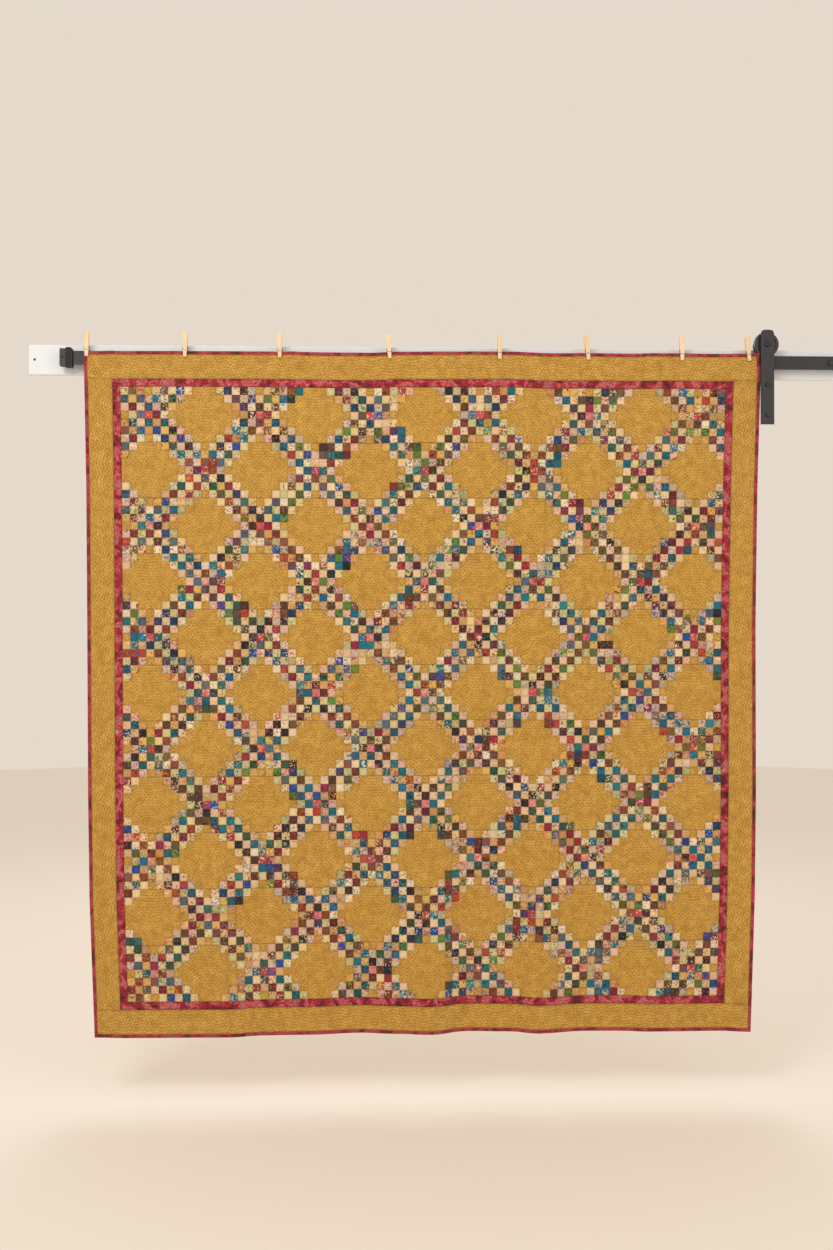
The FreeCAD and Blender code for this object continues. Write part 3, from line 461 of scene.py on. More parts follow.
def cut_cloth(name, left, right, low, high, cell_across, cell_up, depth, face_back=False):
    """A grid of cloth with its raw edge turned under, laid flat at its depth in the quilt."""
    work = bmesh.new()
    bmesh.ops.create_grid(work, x_segments=max(2, round((right - left) / cell_across)),
                          y_segments=max(2, round((high - low) / cell_up)), size=0.5)
    bmesh.ops.scale(work, vec=(right - left, high - low, 1), verts=work.verts)
    bmesh.ops.translate(work, vec=((left + right) / 2, (low + high) / 2, depth), verts=work.verts)
    rim = [edge for edge in work.edges if edge.is_boundary]
    turned = bmesh.ops.extrude_edge_only(work, edges=rim)["geom"]
    under = 0.5 * MM if face_back else -0.5 * MM
    bmesh.ops.translate(work, vec=(0, 0, under), verts=verts_in(turned))
    if face_back:
        bmesh.ops.reverse_faces(work, faces=work.faces)
    for face in work.faces:
        face.smooth = True
    mesh = bpy.data.meshes.new(name)
    work.to_mesh(mesh)
    work.free()
    lay_uv(mesh)
    return collection_add(name, mesh)


def lay_uv(mesh):
    """Keeps every face corner's flat place, in metres, as its UV."""
    owners = np.empty(len(mesh.loops), dtype=int)
    mesh.loops.foreach_get("vertex_index", owners)
    layer = mesh.uv_layers.new(name="flat")
    layer.data.foreach_set("uv", places_of(mesh)[owners, :2].ravel())


def colour_patches(piece):
    """Gives each face the ground, print and motif of its patch; gold faces take the gold cloth."""
    mesh = piece.data
    centres = np.empty(len(mesh.polygons) * 3)
    mesh.polygons.foreach_get("center", centres)
    centres = centres.reshape(-1, 3)
    row, column, _, _ = patch_at(centres)
    sides = np.empty(len(mesh.polygons), dtype=int)
    mesh.polygons.foreach_get("loop_total", sides)
    for name, table, kind, field in (("ground", GROUND, "FLOAT_COLOR", "color"),
                                     ("figure", FIGURE, "FLOAT_COLOR", "color"),
                                     ("accent", ACCENT, "FLOAT_COLOR", "color"),
                                     ("motif", MOTIF, "FLOAT_VECTOR", "vector")):
        layer = mesh.attributes.new(name, kind, "CORNER")
        layer.data.foreach_set(field, np.repeat(table[row, column], sides, axis=0).ravel())
    mesh.polygons.foreach_set("material_index", GOLD_MAP[row, column].astype(int))


def loft(mesh, relief=None, full=1.0):
    """Keeps how high each point of the quilting stands, 0 in a stitched line and 1 on a puff, for
    the painted shade of the cotton finishes.
    """
    height = np.ones(len(mesh.vertices))
    if relief is not None:
        height = np.clip(relief(places_of(mesh)) / full, 0, 1)
    mesh.attributes.new("loft", "FLOAT", "POINT").data.foreach_set("value", height)


# ---- materials ----

def put(tree, kind, inputs=None, stops=None, **settings):
    """Adds one shader node: its settings, its inputs as values or sockets, a ramp's stops."""
    node = tree.nodes.new("ShaderNode" + kind)
    for key, value in settings.items():
        setattr(node, key, value)
    for key, value in (inputs or {}).items():
        if isinstance(value, bpy.types.NodeSocket):
            tree.links.new(value, node.inputs[key])
        else:
            node.inputs[key].default_value = value
    for place, (share, code) in enumerate(stops or []):
        ramp = node.color_ramp
        stop = ramp.elements[place] if place < 2 else ramp.elements.new(share)
        stop.position, stop.color = share, linear(code)
    return node


def finish(name, roughness, metallic=0.0, sheen=0.0, coat=0.0, colour=None):
    """A new material and its shader, with the values that are the same all over it set on it."""
    material = bpy.data.materials.new(name)
    material.use_nodes = True
    tree = material.node_tree
    tree.nodes.clear()
    shader = put(tree, "BsdfPrincipled", {
        "Roughness": roughness, "Metallic": metallic, "Sheen Weight": sheen,
        "Coat Weight": coat, "Coat Roughness": 0.3, "Sheen Roughness": 0.5})
    if colour:
        shader.inputs["Base Color"].default_value = linear(colour)
    put(tree, "OutputMaterial", {"Surface": shader.outputs[0]})
    return material, tree, shader


def weave(tree, where):
    """Plain weave. Real threads are 0.3 mm apart; these are 3.16 mm apart so that they show."""
    thread = 3.16 * MM
    per_scale = 2 * math.pi / 20            # between two crests of a wave at a scale of 1
    crests = [put(tree, "TexWave", {"Vector": where, "Scale": per_scale / thread,
                                    "Distortion": 1.5}, bands_direction=way).outputs["Fac"]
              for way in ("X", "Y")]
    return put(tree, "Math", {0: crests[0], 1: crests[1]}, operation="ADD").outputs[0]


def painted_loft_shade(tree, dye, low, high):
    """Painted shade and painted light: a dye times low in the stitched lines and seams and high on
    the puffs, by their loft.
    """
    stands = put(tree, "Attribute", attribute_name="loft").outputs["Fac"]
    light = put(tree, "MapRange", {"Value": stands, "To Min": low, "To Max": high}).outputs[0]
    return put(tree, "Mix", {0: 1.0, 6: dye, 7: light}, data_type="RGBA",
               blend_type="MULTIPLY").outputs[2]


def cotton(name, stops, blotch, depth=0.35, stitched=False):
    """Hand-dyed quilting cotton: matt, mottled in soft blotches, with its weave just showing,
    painted shade in its stitched lines and painted light on its puffs.

    blotch is the size of a blotch in metres, and depth is how far 4.5 mm specks break it up.
    Stitched cotton has dimples 8 mm apart where the quilting thread sinks into it, each darkened
    with painted shade.
    """
    material, tree, shader = finish(name, roughness=0.88, sheen=0.12)
    uv = put(tree, "UVMap", uv_map="flat").outputs["UV"]
    large = put(tree, "TexNoise", {"Vector": uv, "Scale": 1 / blotch, "Detail": 3.0,
                                   "Roughness": 0.6, "Distortion": 0.6}).outputs["Fac"]
    small = put(tree, "TexNoise", {"Vector": uv, "Scale": 1 / (4.5 * MM), "Detail": 2.0,
                                   "Roughness": 0.6}).outputs["Fac"]
    both = put(tree, "Mix", {0: depth, 2: large, 3: small}, data_type="FLOAT").outputs[0]
    dye = put(tree, "ValToRGB", {"Fac": both}, stops=stops).outputs["Color"]
    # painted shade in the stitched lines, painted light on the puffs
    colour = painted_loft_shade(tree, dye, 0.58, 1.08)
    height = weave(tree, uv)
    if stitched:
        turned = put(tree, "Mapping", {"Vector": uv, "Rotation": (0, 0, math.radians(38)),
                                       "Scale": (1, 0.85, 1)}).outputs[0]
        holes = put(tree, "TexVoronoi", {"Vector": turned, "Scale": 1 / (8 * MM),
                                         "Randomness": 0.35}).outputs["Distance"]
        cloth = put(tree, "MapRange", {"Value": holes, "From Min": 0.10,
                                       "From Max": 0.39}).outputs[0]
        # painted shade: a darker gold in each dimple
        colour = put(tree, "Mix", {0: cloth, 6: linear("#946b26"), 7: colour},
                     data_type="RGBA").outputs[2]
        height = put(tree, "Math", {0: height, 1: cloth}, operation="MULTIPLY").outputs[0]
    tree.links.new(colour, shader.inputs["Base Color"])
    bump = put(tree, "Bump", {"Height": height, "Strength": 0.25, "Distance": 0.3 * MM})
    tree.links.new(bump.outputs[0], shader.inputs["Normal"])
    return material


def printed_cotton():
    """Scrap patches: each has its own ground and a small scattered print in another colour.

    The print is cloudy marks 11 mm across on some patches and dots 6.5 mm apart on the others,
    with a few 8 mm sprigs in a third colour. Seams take painted shade and puffs painted light.
    """
    material, tree, shader = finish("printed_cotton", roughness=0.88, sheen=0.05)
    uv = put(tree, "UVMap", uv_map="flat").outputs["UV"]
    ground = put(tree, "Attribute", attribute_name="ground").outputs["Color"]
    figure = put(tree, "Attribute", attribute_name="figure").outputs["Color"]
    motif = put(tree, "Attribute", attribute_name="motif").outputs["Vector"]
    where = put(tree, "VectorMath", {0: uv, 1: motif}, operation="ADD").outputs[0]
    cloud = put(tree, "TexNoise", {"Vector": where, "Scale": 1 / (11 * MM), "Detail": 2.5,
                                   "Roughness": 0.65, "Distortion": 1.2}).outputs["Fac"]
    batik = put(tree, "MapRange", {"Value": cloud, "From Min": 0.53, "From Max": 0.58}).outputs[0]
    buds = put(tree, "TexVoronoi", {"Vector": where, "Scale": 1 / (6.5 * MM),
                                    "Randomness": 0.8}).outputs["Distance"]
    dots = put(tree, "MapRange", {"Value": buds, "From Min": 0.36, "From Max": 0.26}).outputs[0]
    kind = put(tree, "SeparateXYZ", {0: motif}).outputs["Z"]
    dotted = put(tree, "Math", {0: kind, 1: 0.55}, operation="GREATER_THAN").outputs[0]
    mask = put(tree, "Mix", {0: dotted, 2: batik, 3: dots}, data_type="FLOAT").outputs[0]
    part = put(tree, "Math", {0: mask, 1: 0.9}, operation="MULTIPLY").outputs[0]
    printed = put(tree, "Mix", {0: part, 6: ground, 7: figure}, data_type="RGBA").outputs[2]
    sprig = put(tree, "Attribute", attribute_name="accent").outputs["Color"]
    over = put(tree, "Mapping", {"Vector": where, "Location": (0.3, 0.7, 0)}).outputs[0]
    leaf = put(tree, "TexNoise", {"Vector": over, "Scale": 1 / (8 * MM), "Detail": 1.5,
                                  "Distortion": 1.6}).outputs["Fac"]
    sprigs = put(tree, "MapRange", {"Value": leaf, "From Min": 0.61, "From Max": 0.65}).outputs[0]
    dye = put(tree, "Mix", {0: sprigs, 6: printed, 7: sprig}, data_type="RGBA").outputs[2]
    # painted shade in the seams, painted light on the puffs
    tree.links.new(painted_loft_shade(tree, dye, 0.74, 1.04), shader.inputs["Base Color"])
    bump = put(tree, "Bump", {"Height": weave(tree, uv), "Strength": 0.25, "Distance": 0.3 * MM})
    tree.links.new(bump.outputs[0], shader.inputs["Normal"])
    return material


def coated(name, colour, light, roughness, grain, rise, metallic=0.0, coat=0.0):
    """A coated, ground or moulded surface: a fine stipple, and a tone and gloss worn in patches.

    grain and rise are the stipple's width and height. Real grain is 0.2 to 0.5 mm wide; each is
    drawn 1.2 to 2.5 mm wide so that it shows. The worn patches are 60 mm across.
    """
    material, tree, shader = finish(name, roughness, metallic, coat=coat)
    where = put(tree, "TexCoord").outputs["Object"]
    stipple = put(tree, "TexNoise", {"Vector": where, "Scale": 1 / grain, "Detail": 3.0,
                                     "Roughness": 0.7}).outputs["Fac"]
    wear = put(tree, "TexNoise", {"Vector": where, "Scale": 1 / (60 * MM), "Detail": 4.0,
                                  "Roughness": 0.65}).outputs["Fac"]
    both = put(tree, "Mix", {0: 0.35, 2: wear, 3: stipple}, data_type="FLOAT").outputs[0]
    tone = put(tree, "ValToRGB", {"Fac": both}, stops=[(0.35, colour), (0.65, light)])
    tree.links.new(tone.outputs["Color"], shader.inputs["Base Color"])
    gloss = put(tree, "MapRange", {"Value": wear, "From Min": 0.3, "From Max": 0.7,
                                   "To Min": roughness * 0.85, "To Max": roughness * 1.15})
    tree.links.new(gloss.outputs[0], shader.inputs["Roughness"])
    bump = put(tree, "Bump", {"Height": stipple, "Strength": 0.5, "Distance": rise})
    tree.links.new(bump.outputs[0], shader.inputs["Normal"])
    return material


def birch():
    """Planed white birch, unvarnished: straight 1.6 mm grain drawn out along the pin."""
    material, tree, shader = finish("planed_birch", roughness=0.62)
    where = put(tree, "TexCoord").outputs["Object"]
    drawn_out = 0.06
    along = put(tree, "Mapping", {"Vector": where, "Scale": (1, 1, drawn_out)}).outputs[0]
    grain = put(tree, "TexNoise", {"Vector": along, "Scale": 1 / (1.6 * MM), "Detail": 3.0,
                                   "Roughness": 0.6, "Distortion": 0.4}).outputs["Fac"]
    broad = put(tree, "TexNoise", {"Vector": along, "Scale": 1 / (11 * MM)}).outputs["Fac"]
    both = put(tree, "Mix", {0: 0.45, 2: grain, 3: broad}, data_type="FLOAT").outputs[0]
    tone = put(tree, "ValToRGB", {"Fac": both},
               stops=[(0.30, "#d9b88c"), (0.52, "#ecd3ac"), (0.70, "#f2dfc0")])
    tree.links.new(tone.outputs["Color"], shader.inputs["Base Color"])
    bump = put(tree, "Bump", {"Height": grain, "Strength": 0.4, "Distance": 0.2 * MM})
    tree.links.new(bump.outputs[0], shader.inputs["Normal"])
    return material


GOLD_STOPS = [(0.30, "#ad7d2b"), (0.44, "#c3923a"), (0.56, "#d3a448"), (0.72, "#e1b75b")]
RED_STOPS = [(0.37, "#4a0f1c"), (0.43, "#861929"), (0.485, "#a82637"), (0.525, "#bd3b47"),
             (0.558, "#d87c78"), (0.585, "#b8503e"), (0.62, "#8c3a5c"), (0.67, "#d8a496")]
BOUND_STOPS = [(0.34, "#3f1219"), (0.43, "#6c1c28"), (0.50, "#8f2732"), (0.56, "#b23a42"),
               (0.62, "#6e4636"), (0.68, "#a34a54")]
TAN_STOPS = [(0.30, "#c29a66"), (0.50, "#caa470"), (0.70, "#d2ae7b")]
WADDING_STOPS = [(0.3, "#e6dfcf"), (0.7, "#f3eee2")]

FINISH = {
    # plain-woven scrap cottons: dry and matt, no two patches alike, with painted shade in the
    # seams
    "patch_cotton": printed_cotton(),
    # hand-dyed cotton, closely stitched: matt mottled gold, dimpled all over, with painted shade
    # in the dimples and stitched lines
    "gold_cotton": cotton("gold_mottled_cotton", GOLD_STOPS, 26 * MM, depth=0.45,
                          stitched=True),
    # wax-resist batik: matt red, clouded from near black to pink, with painted shade in its
    # stitched rows
    "red_batik": cotton("red_batik_cotton", RED_STOPS, 34 * MM, depth=0.25),
    # a darker batik cut in a narrow strip: its colour changes along the edge
    "binding_batik": cotton("bound_edge_batik", BOUND_STOPS, 42 * MM, depth=0.25),
    # piece-dyed cotton: matt, nearly even tan, with painted shade in its quilted lines
    "backing_cotton": cotton("backing_cotton", TAN_STOPS, 18 * MM),
    # needled cotton wadding: off-white, dry and soft, hidden between the cloths
    "cotton_batting": cotton("needled_wadding", WADDING_STOPS, 12 * MM),
    # rolled white acrylic on pine: soft sheen, faint roller stipple
    "board_paint": coated("white_acrylic_paint", "#e0e5e9", "#e8edf2", 0.42, 2.2 * MM, 0.12 * MM),
    # black oxide on steel: thin and dull, with the metal's highlight under it
    "screw_black": coated("black_oxide_steel", "#161617", "#242426", 0.45, 1.5 * MM, 0.05 * MM,
                          metallic=0.7),
    # baked powder coat: matt charcoal with a fine sandy stipple
    "rail_powder_coat": coated("black_powder_coat", "#212225", "#2b2c30", 0.5, 1.6 * MM,
                               0.15 * MM),
    # smoother powder coat: darker, with a low satin gloss
    "hardware_black": coated("satin_powder_coat", "#1e1e21", "#28292c", 0.42, 1.6 * MM,
                             0.12 * MM),
    # moulded rubber: soft black, almost without highlight
    "bumper_rubber": coated("moulded_rubber", "#1b1b1d", "#27272a", 0.72, 2.0 * MM, 0.1 * MM),
    # moulded nylon: smooth and slightly waxy
    "wheel_black": coated("moulded_nylon", "#1d1e20", "#292a2d", 0.38, 2.5 * MM, 0.05 * MM,
                          coat=0.2),
    # ground bearing steel: bright, with a tight highlight
    "bearing_steel": coated("ground_bearing_steel", "#9a9b9d", "#b4b5b7", 0.28, 1.2 * MM,
                            0.02 * MM, metallic=1.0),
    # planed birch: pale, dry, with its grain along the pin
    "pin_wood": birch(),
    # galvanised wire: mid grey, with a narrow bright line along it
    "spring_wire": coated("galvanised_wire", "#8d8e8f", "#a9aaab", 0.35, 1.2 * MM, 0.03 * MM,
                          metallic=1.0),
}


def dress(piece, slot, *others):
    """Gives a piece the finish of its slot, and any others that some of its faces take."""
    for name in (slot, *others):
        piece.data.materials.append(FINISH[name])


# ---- the quilt's pieces ----

def pieced_rows():
    """The field, sewn from rows of blocks. Each row is one strip of joined patches."""
    cell = PATCH / 8                        # so that seams fall on the grid
    for number in range(PATCHES // BLOCK):
        high = SIDE - FIELD_IN - number * BLOCK * PATCH
        piece = cut_cloth(f"quilt_row_{number + 1:02d}", FIELD_IN, SIDE - FIELD_IN,
                          high - BLOCK * PATCH, high, cell, cell, TOP_FACE)
        colour_patches(piece)
        loft(piece.data, field_relief, full=0.8 * MM)
        hang(piece, field_relief)
        dress(piece, "patch_cotton", "gold_cotton")
        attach(piece, "rack")
        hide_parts("quilt_field")


def border(name, node, slot, inner, outer, along, across):
    """Four strips round the quilt, between two insets from its edge."""
    relief_of = {"x": border_relief(inner, outer, "x"), "y": border_relief(inner, outer, "y")}
    strips = {
        "top": (outer, SIDE - outer, SIDE - inner, SIDE - outer, "x"),
        "bottom": (outer, SIDE - outer, outer, inner, "x"),
        "left": (outer, inner, inner, SIDE - inner, "y"),
        "right": (SIDE - inner, SIDE - outer, inner, SIDE - inner, "y"),
    }
    for side, (left, right, low, high, way) in strips.items():
        cells = (along, across) if way == "x" else (across, along)
        piece = cut_cloth(f"{name}_{side}", left, right, low, high, *cells, TOP_FACE)
        loft(piece.data, relief_of[way], full=0.85 * MM)
        hang(piece, relief_of[way])
        dress(piece, slot)
        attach(piece, "rack")
        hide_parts(node)


def wadding():
    """One soft layer between top and backing, inside the binding."""
    cell, under_top = 12 * MM, 1.3 * MM
    piece = cut_cloth("quilt_wadding", RAW_EDGE, SIDE - RAW_EDGE, RAW_EDGE, SIDE - RAW_EDGE,
                      cell, cell, TOP_FACE - under_top)
    hang(piece)
    thicken = piece.modifiers.new("loft", "SOLIDIFY")
    thicken.thickness = 1.0 * MM
    thicken.offset = -1
    dress(piece, "cotton_batting")
    loft(piece.data)
    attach(piece, "rack")
    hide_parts("quilt_batting")


def backing():
    """Three lengths of backing cloth, seamed down the quilt."""
    width = (SIDE - 2 * RAW_EDGE) / 3
    cell, seam_half, fade = 4 * MM, 3 * MM, 4 * MM
    for number, side in enumerate(("left", "middle", "right")):
        left = RAW_EDGE + number * width

        def relief(flat, left=left):
            off_seam = np.minimum(flat[:, 0] - left, left + width - flat[:, 0])
            puff = 1 - np.exp(-(off_seam / seam_half) ** 2)
            inside = ((np.minimum(flat[:, 0], flat[:, 1]) > FIELD_IN)
                      & (np.maximum(flat[:, 0], flat[:, 1]) < SIDE - FIELD_IN))
            sides = np.minimum(flat[:, 0], SIDE - flat[:, 0]) < FIELD_IN
            border = np.where(sides, border_rows(flat, "y")[0], border_rows(flat, "x")[0])
            quilted = np.where(inside, arches(flat), border)
            rim = np.minimum(np.minimum(flat[:, 0], flat[:, 1]),
                             SIDE - np.maximum(flat[:, 0], flat[:, 1]))
            open_cloth = ease((rim - BOUND) / fade)           # flat under the binding
            return STITCHED - open_cloth * (0.4 + 0.6 * puff) * MM * (0.25 + 0.75 * quilted)

        piece = cut_cloth(f"quilt_backing_{side}", left, left + width, RAW_EDGE,
                          SIDE - RAW_EDGE, cell, cell, BACKING_FACE, face_back=True)
        loft(piece.data, lambda flat: 0.5 * MM - relief(flat), full=1.2 * MM)
        hang(piece, relief)
        dress(piece, "backing_cotton")
        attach(piece, "rack")
        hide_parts("quilt_backing")


# The binding's section, from the inner edge on the front, over the quilt's edge, to the inner
# edge on the back: inset from the edge and height over the back plane, in millimetres.
BOUND_EDGE = [(9.7, 3.0), (9.6, 3.7), (8.7, 3.8), (7.0, 4.5), (4.6, 4.8), (2.4, 4.4),
              (0.8, 3.5), (-0.3, 2.2), (0.2, 0.9), (1.5, 0.1), (4.6, 0.0), (8.7, 0.0),
              (9.6, 0.1), (9.7, 0.6)]


def binding():
    """A strip folded over all four edges, mitred at the corners."""
    per_side, ripple_long, puffed = 330, 21 * MM, 3.9 * MM
    work = bmesh.new()
    bmesh.ops.create_grid(work, x_segments=4 * per_side, y_segments=len(BOUND_EDGE) - 1,
                          size=0.5)
    mesh = bpy.data.meshes.new("quilt_binding_strip")
    work.to_mesh(mesh)
    work.free()
    grid = places_of(mesh)
    round_it = (grid[:, 0] + 0.5) * 4                   # 0 to 4 sides round the quilt
    section = np.rint((grid[:, 1] + 0.5) * (len(BOUND_EDGE) - 1)).astype(int)
    inset, height = (np.array(column)[section] * MM for column in zip(*BOUND_EDGE))
    side = np.minimum(np.floor(round_it + 1e-6).astype(int), 3)
    run = inset + (SIDE - 2 * inset) * (round_it - side)
    flat = np.zeros_like(grid)
    # left edge upwards, top edge to the right, right edge down, bottom edge back
    for number, (x, y) in enumerate(((inset, run), (run, SIDE - inset),
                                     (SIDE - inset, SIDE - run), (SIDE - run, inset))):
        here = side == number
        flat[here, 0], flat[here, 1] = x[here], y[here]
    ripple = 0.35 * MM * np.sin(round_it * SIDE / ripple_long * 2 * np.pi
                                + 3 * np.sin(round_it * 9))
    flat[:, 2] = height + ripple * (height > puffed)
    mesh.vertices.foreach_set("co", flat.ravel())
    lay_uv(mesh)
    piece = collection_add("quilt_binding_strip", mesh)
    loft(mesh)
    hang(piece)
    work = bmesh.new()
    work.from_mesh(mesh)
    bmesh.ops.remove_doubles(work, verts=work.verts, dist=0.01 * MM)
    for face in work.faces:
        face.smooth = True
    work.to_mesh(mesh)
    work.free()
    dress(piece, "binding_batik")
    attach(piece, "rack")
    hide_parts("quilt_binding")


pieced_rows()
border("inner_border", "quilt_inner_border", "red_batik", FIELD_IN, INNER_IN, 6 * MM, 2.3 * MM)
border("outer_border", "quilt_outer_border", "gold_cotton", INNER_IN, BOUND, 3 * MM, 2 * MM)
wadding()
backing()
binding()


# ---- clothespins ----
# A leg lies along its own Y from the jaw's tip, X across it and Z out from its inner face,
# in millimetres until it is stood in place.

PIN_LONG, COIL_AT, ARM_AT = 73.0, 31.0, 19.0    # the leg, its coil seat and its outer groove
PIN_LEAN = math.radians(9.7)                    # of each leg from upright
AT_COIL = 3.0                                   # from the coil's middle to a leg's inner face
JAW_WIDE, HANDLE_WIDE = 10.0, 15.0
COIL_R, WIRE_R = 3.5, 0.9
ARM_HIGH = 4.0 + 3.0 * ARM_AT / COIL_AT          # the leg's thickness at its outer groove


def arc(middle, radius, start, end, count):
    """Points of a round stretch, angles in degrees."""
    turns = [math.radians(start + (end - start) * i / (count - 1)) for i in range(count)]
    return [(middle[0] + radius * math.cos(a), middle[1] + radius * math.sin(a)) for a in turns]


def leg_outline():
    """The leg seen from its side: inner face with jaw notch and coil seat, then the outer face."""
    inner = [(0.6, 0.35), (3.0, 0.0)]
    inner += arc((10.5, -0.9), 2.4, 157, 23, 7)
    inner += [(26.0, 0.0)]
    inner += arc((COIL_AT, -3.0), 3.6, 124, 56, 5)
    inner += [(37.0, 1.07), (72.2, 7.35)]
    outer = arc((71.4, 10.4), 1.6, 20, 90, 4) + [(COIL_AT + 3, 7.2), (COIL_AT - 4, 6.6)]
    outer += arc((ARM_AT, ARM_HIGH), 1.05, 10, -170, 6)
    outer += [(6.0, 4.5), (2.2, 3.6), (0.0, 1.7)]
    return inner + outer


def leg_mesh(name):
    """Its outline pulled across, edges rounded, and widened from the jaw to the handle."""
    work = bmesh.new()
    side = work.faces.new([work.verts.new((-JAW_WIDE / 2, y, z)) for y, z in leg_outline()])
    pulled = bmesh.ops.extrude_face_region(work, geom=[side])["geom"]
    bmesh.ops.translate(work, vec=(JAW_WIDE, 0, 0), verts=verts_in(pulled))
    bmesh.ops.recalc_face_normals(work, faces=work.faces)
    rims = [edge for edge in work.edges if abs(edge.verts[0].co.x - edge.verts[1].co.x) < 0.01]
    bmesh.ops.bevel(work, geom=rims, offset=0.55, segments=2, profile=0.5, affect="EDGES",
                    clamp_overlap=True, material=-1)
    for vert in work.verts:
        share = vert.co.y / PIN_LONG
        vert.co.x *= 1 + (HANDLE_WIDE / JAW_WIDE - 1) * share
    bmesh.ops.triangulate(work, faces=[face for face in work.faces if len(face.verts) > 4])
    for face in work.faces:
        face.smooth = True
    mesh = bpy.data.meshes.new(name)
    work.to_mesh(mesh)
    work.free()
    return mesh


def pin_frame(joint):
    """From a pin's own frame at its coil (X along the coil, Z up the pin) to the row frame."""
    right = -Vector(joint["axis"]).normalized()
    into = Vector((0, 1, 0))
    up = right.cross(into)
    turn = Matrix((right, into, up)).transposed().to_4x4()
    return Matrix.Translation(Vector(joint["pos_m"])) @ turn @ Matrix.Scale(MM, 4)


def leg_place(way):
    """Leg frame to pin frame: the front leg, or the rear one turned half round."""
    lean = Matrix.Rotation(math.radians(90) - PIN_LEAN, 4, "X")
    tip = Vector((0, -AT_COIL * math.cos(PIN_LEAN) - COIL_AT * math.sin(PIN_LEAN),
                  AT_COIL * math.sin(PIN_LEAN) - COIL_AT * math.cos(PIN_LEAN)))
    front = Matrix.Translation(tip) @ lean
    return front if way == "front" else Matrix.Rotation(math.pi, 4, "Z") @ front


def spring_route():
    """Wire from the front leg's groove, up to the coil, through its turns, to the rear one."""
    waist = (JAW_WIDE + (HANDLE_WIDE - JAW_WIDE) * COIL_AT / PIN_LONG) / 2
    gap, bend = 0.4, 1.6
    side = waist + gap + WIRE_R
    turn_r = COIL_R - WIRE_R
    out = AT_COIL + ARM_HIGH
    down = COIL_AT - ARM_AT
    hook = (-down * math.sin(PIN_LEAN) - out * math.cos(PIN_LEAN),
            -down * math.cos(PIN_LEAN) + out * math.sin(PIN_LEAN))
    front = [(waist * 0.7, *hook), (-side + bend, *hook), (-side, *hook),
             (-side, hook[0] * 0.9 - 0.1 * turn_r, hook[1] * 0.9),
             (-side, hook[0] * 0.45 - 0.55 * turn_r, hook[1] * 0.45)]
    rear = [(-x, -y, z) for x, y, z in reversed(front)]
    turns, per_turn = 6.5, 14
    count = round(turns * per_turn)
    coil = []
    for i in range(count + 1):
        angle = math.pi + 2 * math.pi * turns * i / count
        coil.append((-side + 2 * side * i / count, turn_r * math.cos(angle),
                     turn_r * math.sin(angle)))
    return front + coil + rear


def spring_mesh(name):
    """The wire's smooth line as a round mesh tube with closed ends."""
    curve = bpy.data.curves.new(name, "CURVE")
    curve.dimensions = "3D"
    route = spring_route()
    line = curve.splines.new("NURBS")
    line.points.add(len(route) - 1)
    for point, place in zip(line.points, route):
        point.co = (*place, 1)
    line.order_u = 3
    line.use_endpoint_u = True
    curve.resolution_u = 3
    curve.bevel_depth = WIRE_R
    curve.bevel_resolution = 3
    curve.use_fill_caps = True
    line_piece = collection_add(name + "_line", curve)
    bpy.context.view_layer.update()
    evaluated = line_piece.evaluated_get(bpy.context.evaluated_depsgraph_get())
    mesh = bpy.data.meshes.new_from_object(evaluated)
    mesh.name = name
    bpy.data.objects.remove(line_piece)
    return mesh


def clothespins():
    """Each pin's rear leg rides on its body and its front leg turns; the spring's wire is laid in
    place.
    """
    for joint in PINS:
        body = joint["parent"]
        stand = pin_frame(joint)
        for way, rides in (("front", joint["child"]), ("rear", body)):
            mesh = leg_mesh(f"{body}_{way}_leg")
            mesh.transform(stand @ leg_place(way))
            mesh.set_sharp_from_angle(angle=math.radians(40))
            leg = collection_add(f"{body}_{way}_wood", mesh)
            dress(leg, "pin_wood")
            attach(leg, rides)
            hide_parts(f"{body}_{way}")
        mesh = spring_mesh(f"{body}_coil")
        mesh.transform(stand)
        for face in mesh.polygons:
            face.use_smooth = True
        coil = collection_add(f"{body}_coil", mesh)
        dress(coil, "spring_wire")
        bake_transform(coil)
        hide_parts(f"{body}_spring")


clothespins()


# ---- rack hardware ----

def eased(node, ease_mm, slot):
    """A CAD piece's own shape with its sharp edges eased, as a real one's are."""
    name = node + "_eased"
    mesh = frame["nodes"][node].data.copy()
    mesh.name = name
    mesh.materials.clear()
    work = bmesh.new()
    work.from_mesh(mesh)
    bmesh.ops.remove_doubles(work, verts=work.verts, dist=0.002 * MM)
    bmesh.ops.dissolve_limit(work, angle_limit=math.radians(0.5), verts=work.verts,
                             edges=work.edges)
    for face in work.faces:
        face.smooth = True
    work.to_mesh(mesh)
    work.free()
    mesh.set_sharp_from_angle(angle=math.radians(32))
    piece = collection_add(name, mesh)
    bevel = piece.modifiers.new("eased", "BEVEL")
    bevel.width = ease_mm * MM
    bevel.segments = 2
    bevel.limit_method = "ANGLE"
    bevel.angle_limit = math.radians(40)
    bevel.use_clamp_overlap = True
    dress(piece, slot)
    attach(piece, frame["nodes"][node]["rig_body"])
    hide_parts(node)


SLOT_OF = {"header_board": "board_paint", "board_screws": "screw_black",
           "rail": "rail_powder_coat", "rail_spacers": "rail_powder_coat",
           "rail_washers": "hardware_black", "rail_bolts": "hardware_black",
           "hanger_strap": "hardware_black", "hanger_axle_bolt": "hardware_black",
           "hanger_axle_washers": "hardware_black", "hanger_axle_nut": "hardware_black",
           "hanger_door_bolts": "hardware_black", "hanger_wheel": "wheel_black",
           "wheel_bearing": "bearing_steel"}
for side in ("left", "right"):
    SLOT_OF.update({f"{side}_stop_body": "hardware_black", f"{side}_stop_screw": "screw_black",
                    f"{side}_stop_bumper": "bumper_rubber"})
THIN = ("rail_washers", "hanger_axle_washers", "board_screws")
for node, slot in SLOT_OF.items():
    eased(node, 0.25 if node in THIN else 0.6, slot)


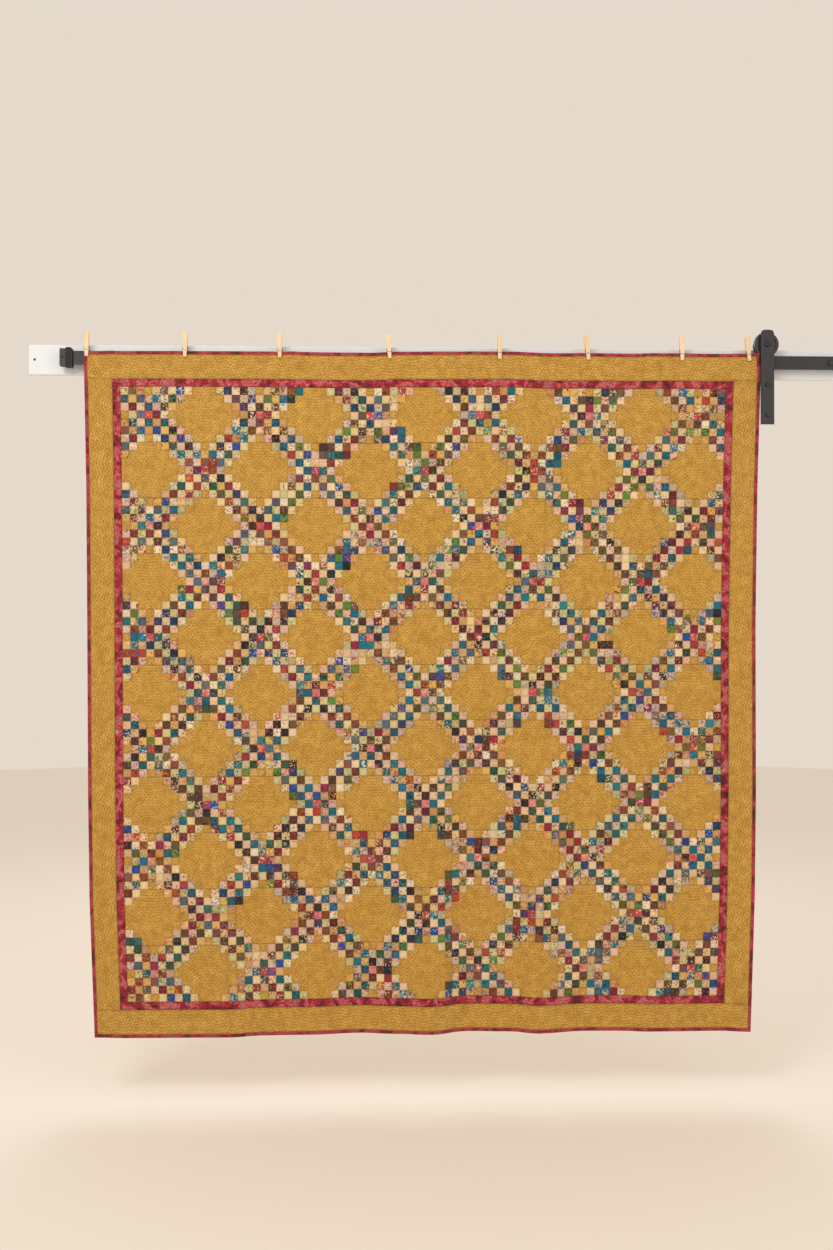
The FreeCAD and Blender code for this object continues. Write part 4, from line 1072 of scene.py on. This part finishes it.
def lag_threads():
    """The coarse wood thread wound round the far end of each lag bolt, which the wall hides."""
    pitch, turns, per_turn = 2.8 * MM, 15, 14
    core, crest, start = 3.3 * MM, 4.4 * MM, 2 * MM
    work = bmesh.new()
    for x in BOLTS:
        ridge = [work.verts.new((x + r, start + y, 0))
                 for r, y in ((core, 0), (crest, pitch * 0.3), (core, pitch * 0.6))]
        outline = [work.edges.new((ridge[i], ridge[i - 1])) for i in range(3)]
        wound = bmesh.ops.spin(work, geom=ridge + outline, cent=(x, 0, 0), axis=(0, 1, 0),
                               dvec=(0, pitch / per_turn, 0), angle=2 * math.pi * turns,
                               steps=turns * per_turn, use_duplicate=False)
        work.faces.new(ridge)
        work.faces.new(verts_in(wound["geom_last"]))
    bmesh.ops.recalc_face_normals(work, faces=work.faces)
    mesh = bpy.data.meshes.new("lag_bolt_threads")
    work.to_mesh(mesh)
    work.free()
    piece = collection_add("lag_bolt_threads", mesh)
    dress(piece, "screw_black")
    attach(piece, frame["nodes"]["rail_bolts"]["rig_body"])


lag_threads()


# ---- floor, light and air ----

def pale_room():
    """A wide round floor below the quilt, under an even warm white sky."""
    below_quilt = 0.19
    floor = bmesh.new()
    bmesh.ops.create_circle(floor, cap_ends=True, segments=128, radius=11)
    bmesh.ops.translate(floor, vec=(0, 0, BOTTOM - below_quilt), verts=floor.verts)
    mesh = bpy.data.meshes.new("studio_floor")
    floor.to_mesh(mesh)
    floor.free()
    piece = collection_add("studio_floor", mesh)
    # matt floor paint: plain warm white
    material, _, _ = finish("studio_floor_paint", roughness=0.7, colour="#f5efe6")
    mesh.materials.append(material)

    world = bpy.data.worlds.new("pale_room")
    scene.world = world
    world.use_nodes = True
    air = world.node_tree.nodes["Background"]
    air.inputs["Color"].default_value = linear("#e5d9cb")
    air.inputs["Strength"].default_value = 1.0


def softbox(name, place, aim, size, power):
    """A square soft light, size metres wide and power watts strong, turned to its aim."""
    light = bpy.data.lights.new(name, "AREA")
    light.shape, light.size, light.energy = "SQUARE", size, power
    lamp = collection_add(name, light)
    lamp.location = place
    lamp.rotation_euler = (Vector(aim) - Vector(place)).to_track_quat("-Z", "Y").to_euler()


pale_room()
softbox("key_light", (-1.8, -3.4, 1.6), (-0.2, 0, -0.7), 1.6, 56)
softbox("fill_light", (2.4, -3.6, 0.2), (0.0, 0, -1.0), 2.2, 19)
softbox("wall_light", (0.0, 3.5, 1.5), (0.0, 0, -0.8), 2.0, 36)
scene.view_settings.view_transform = "Standard"
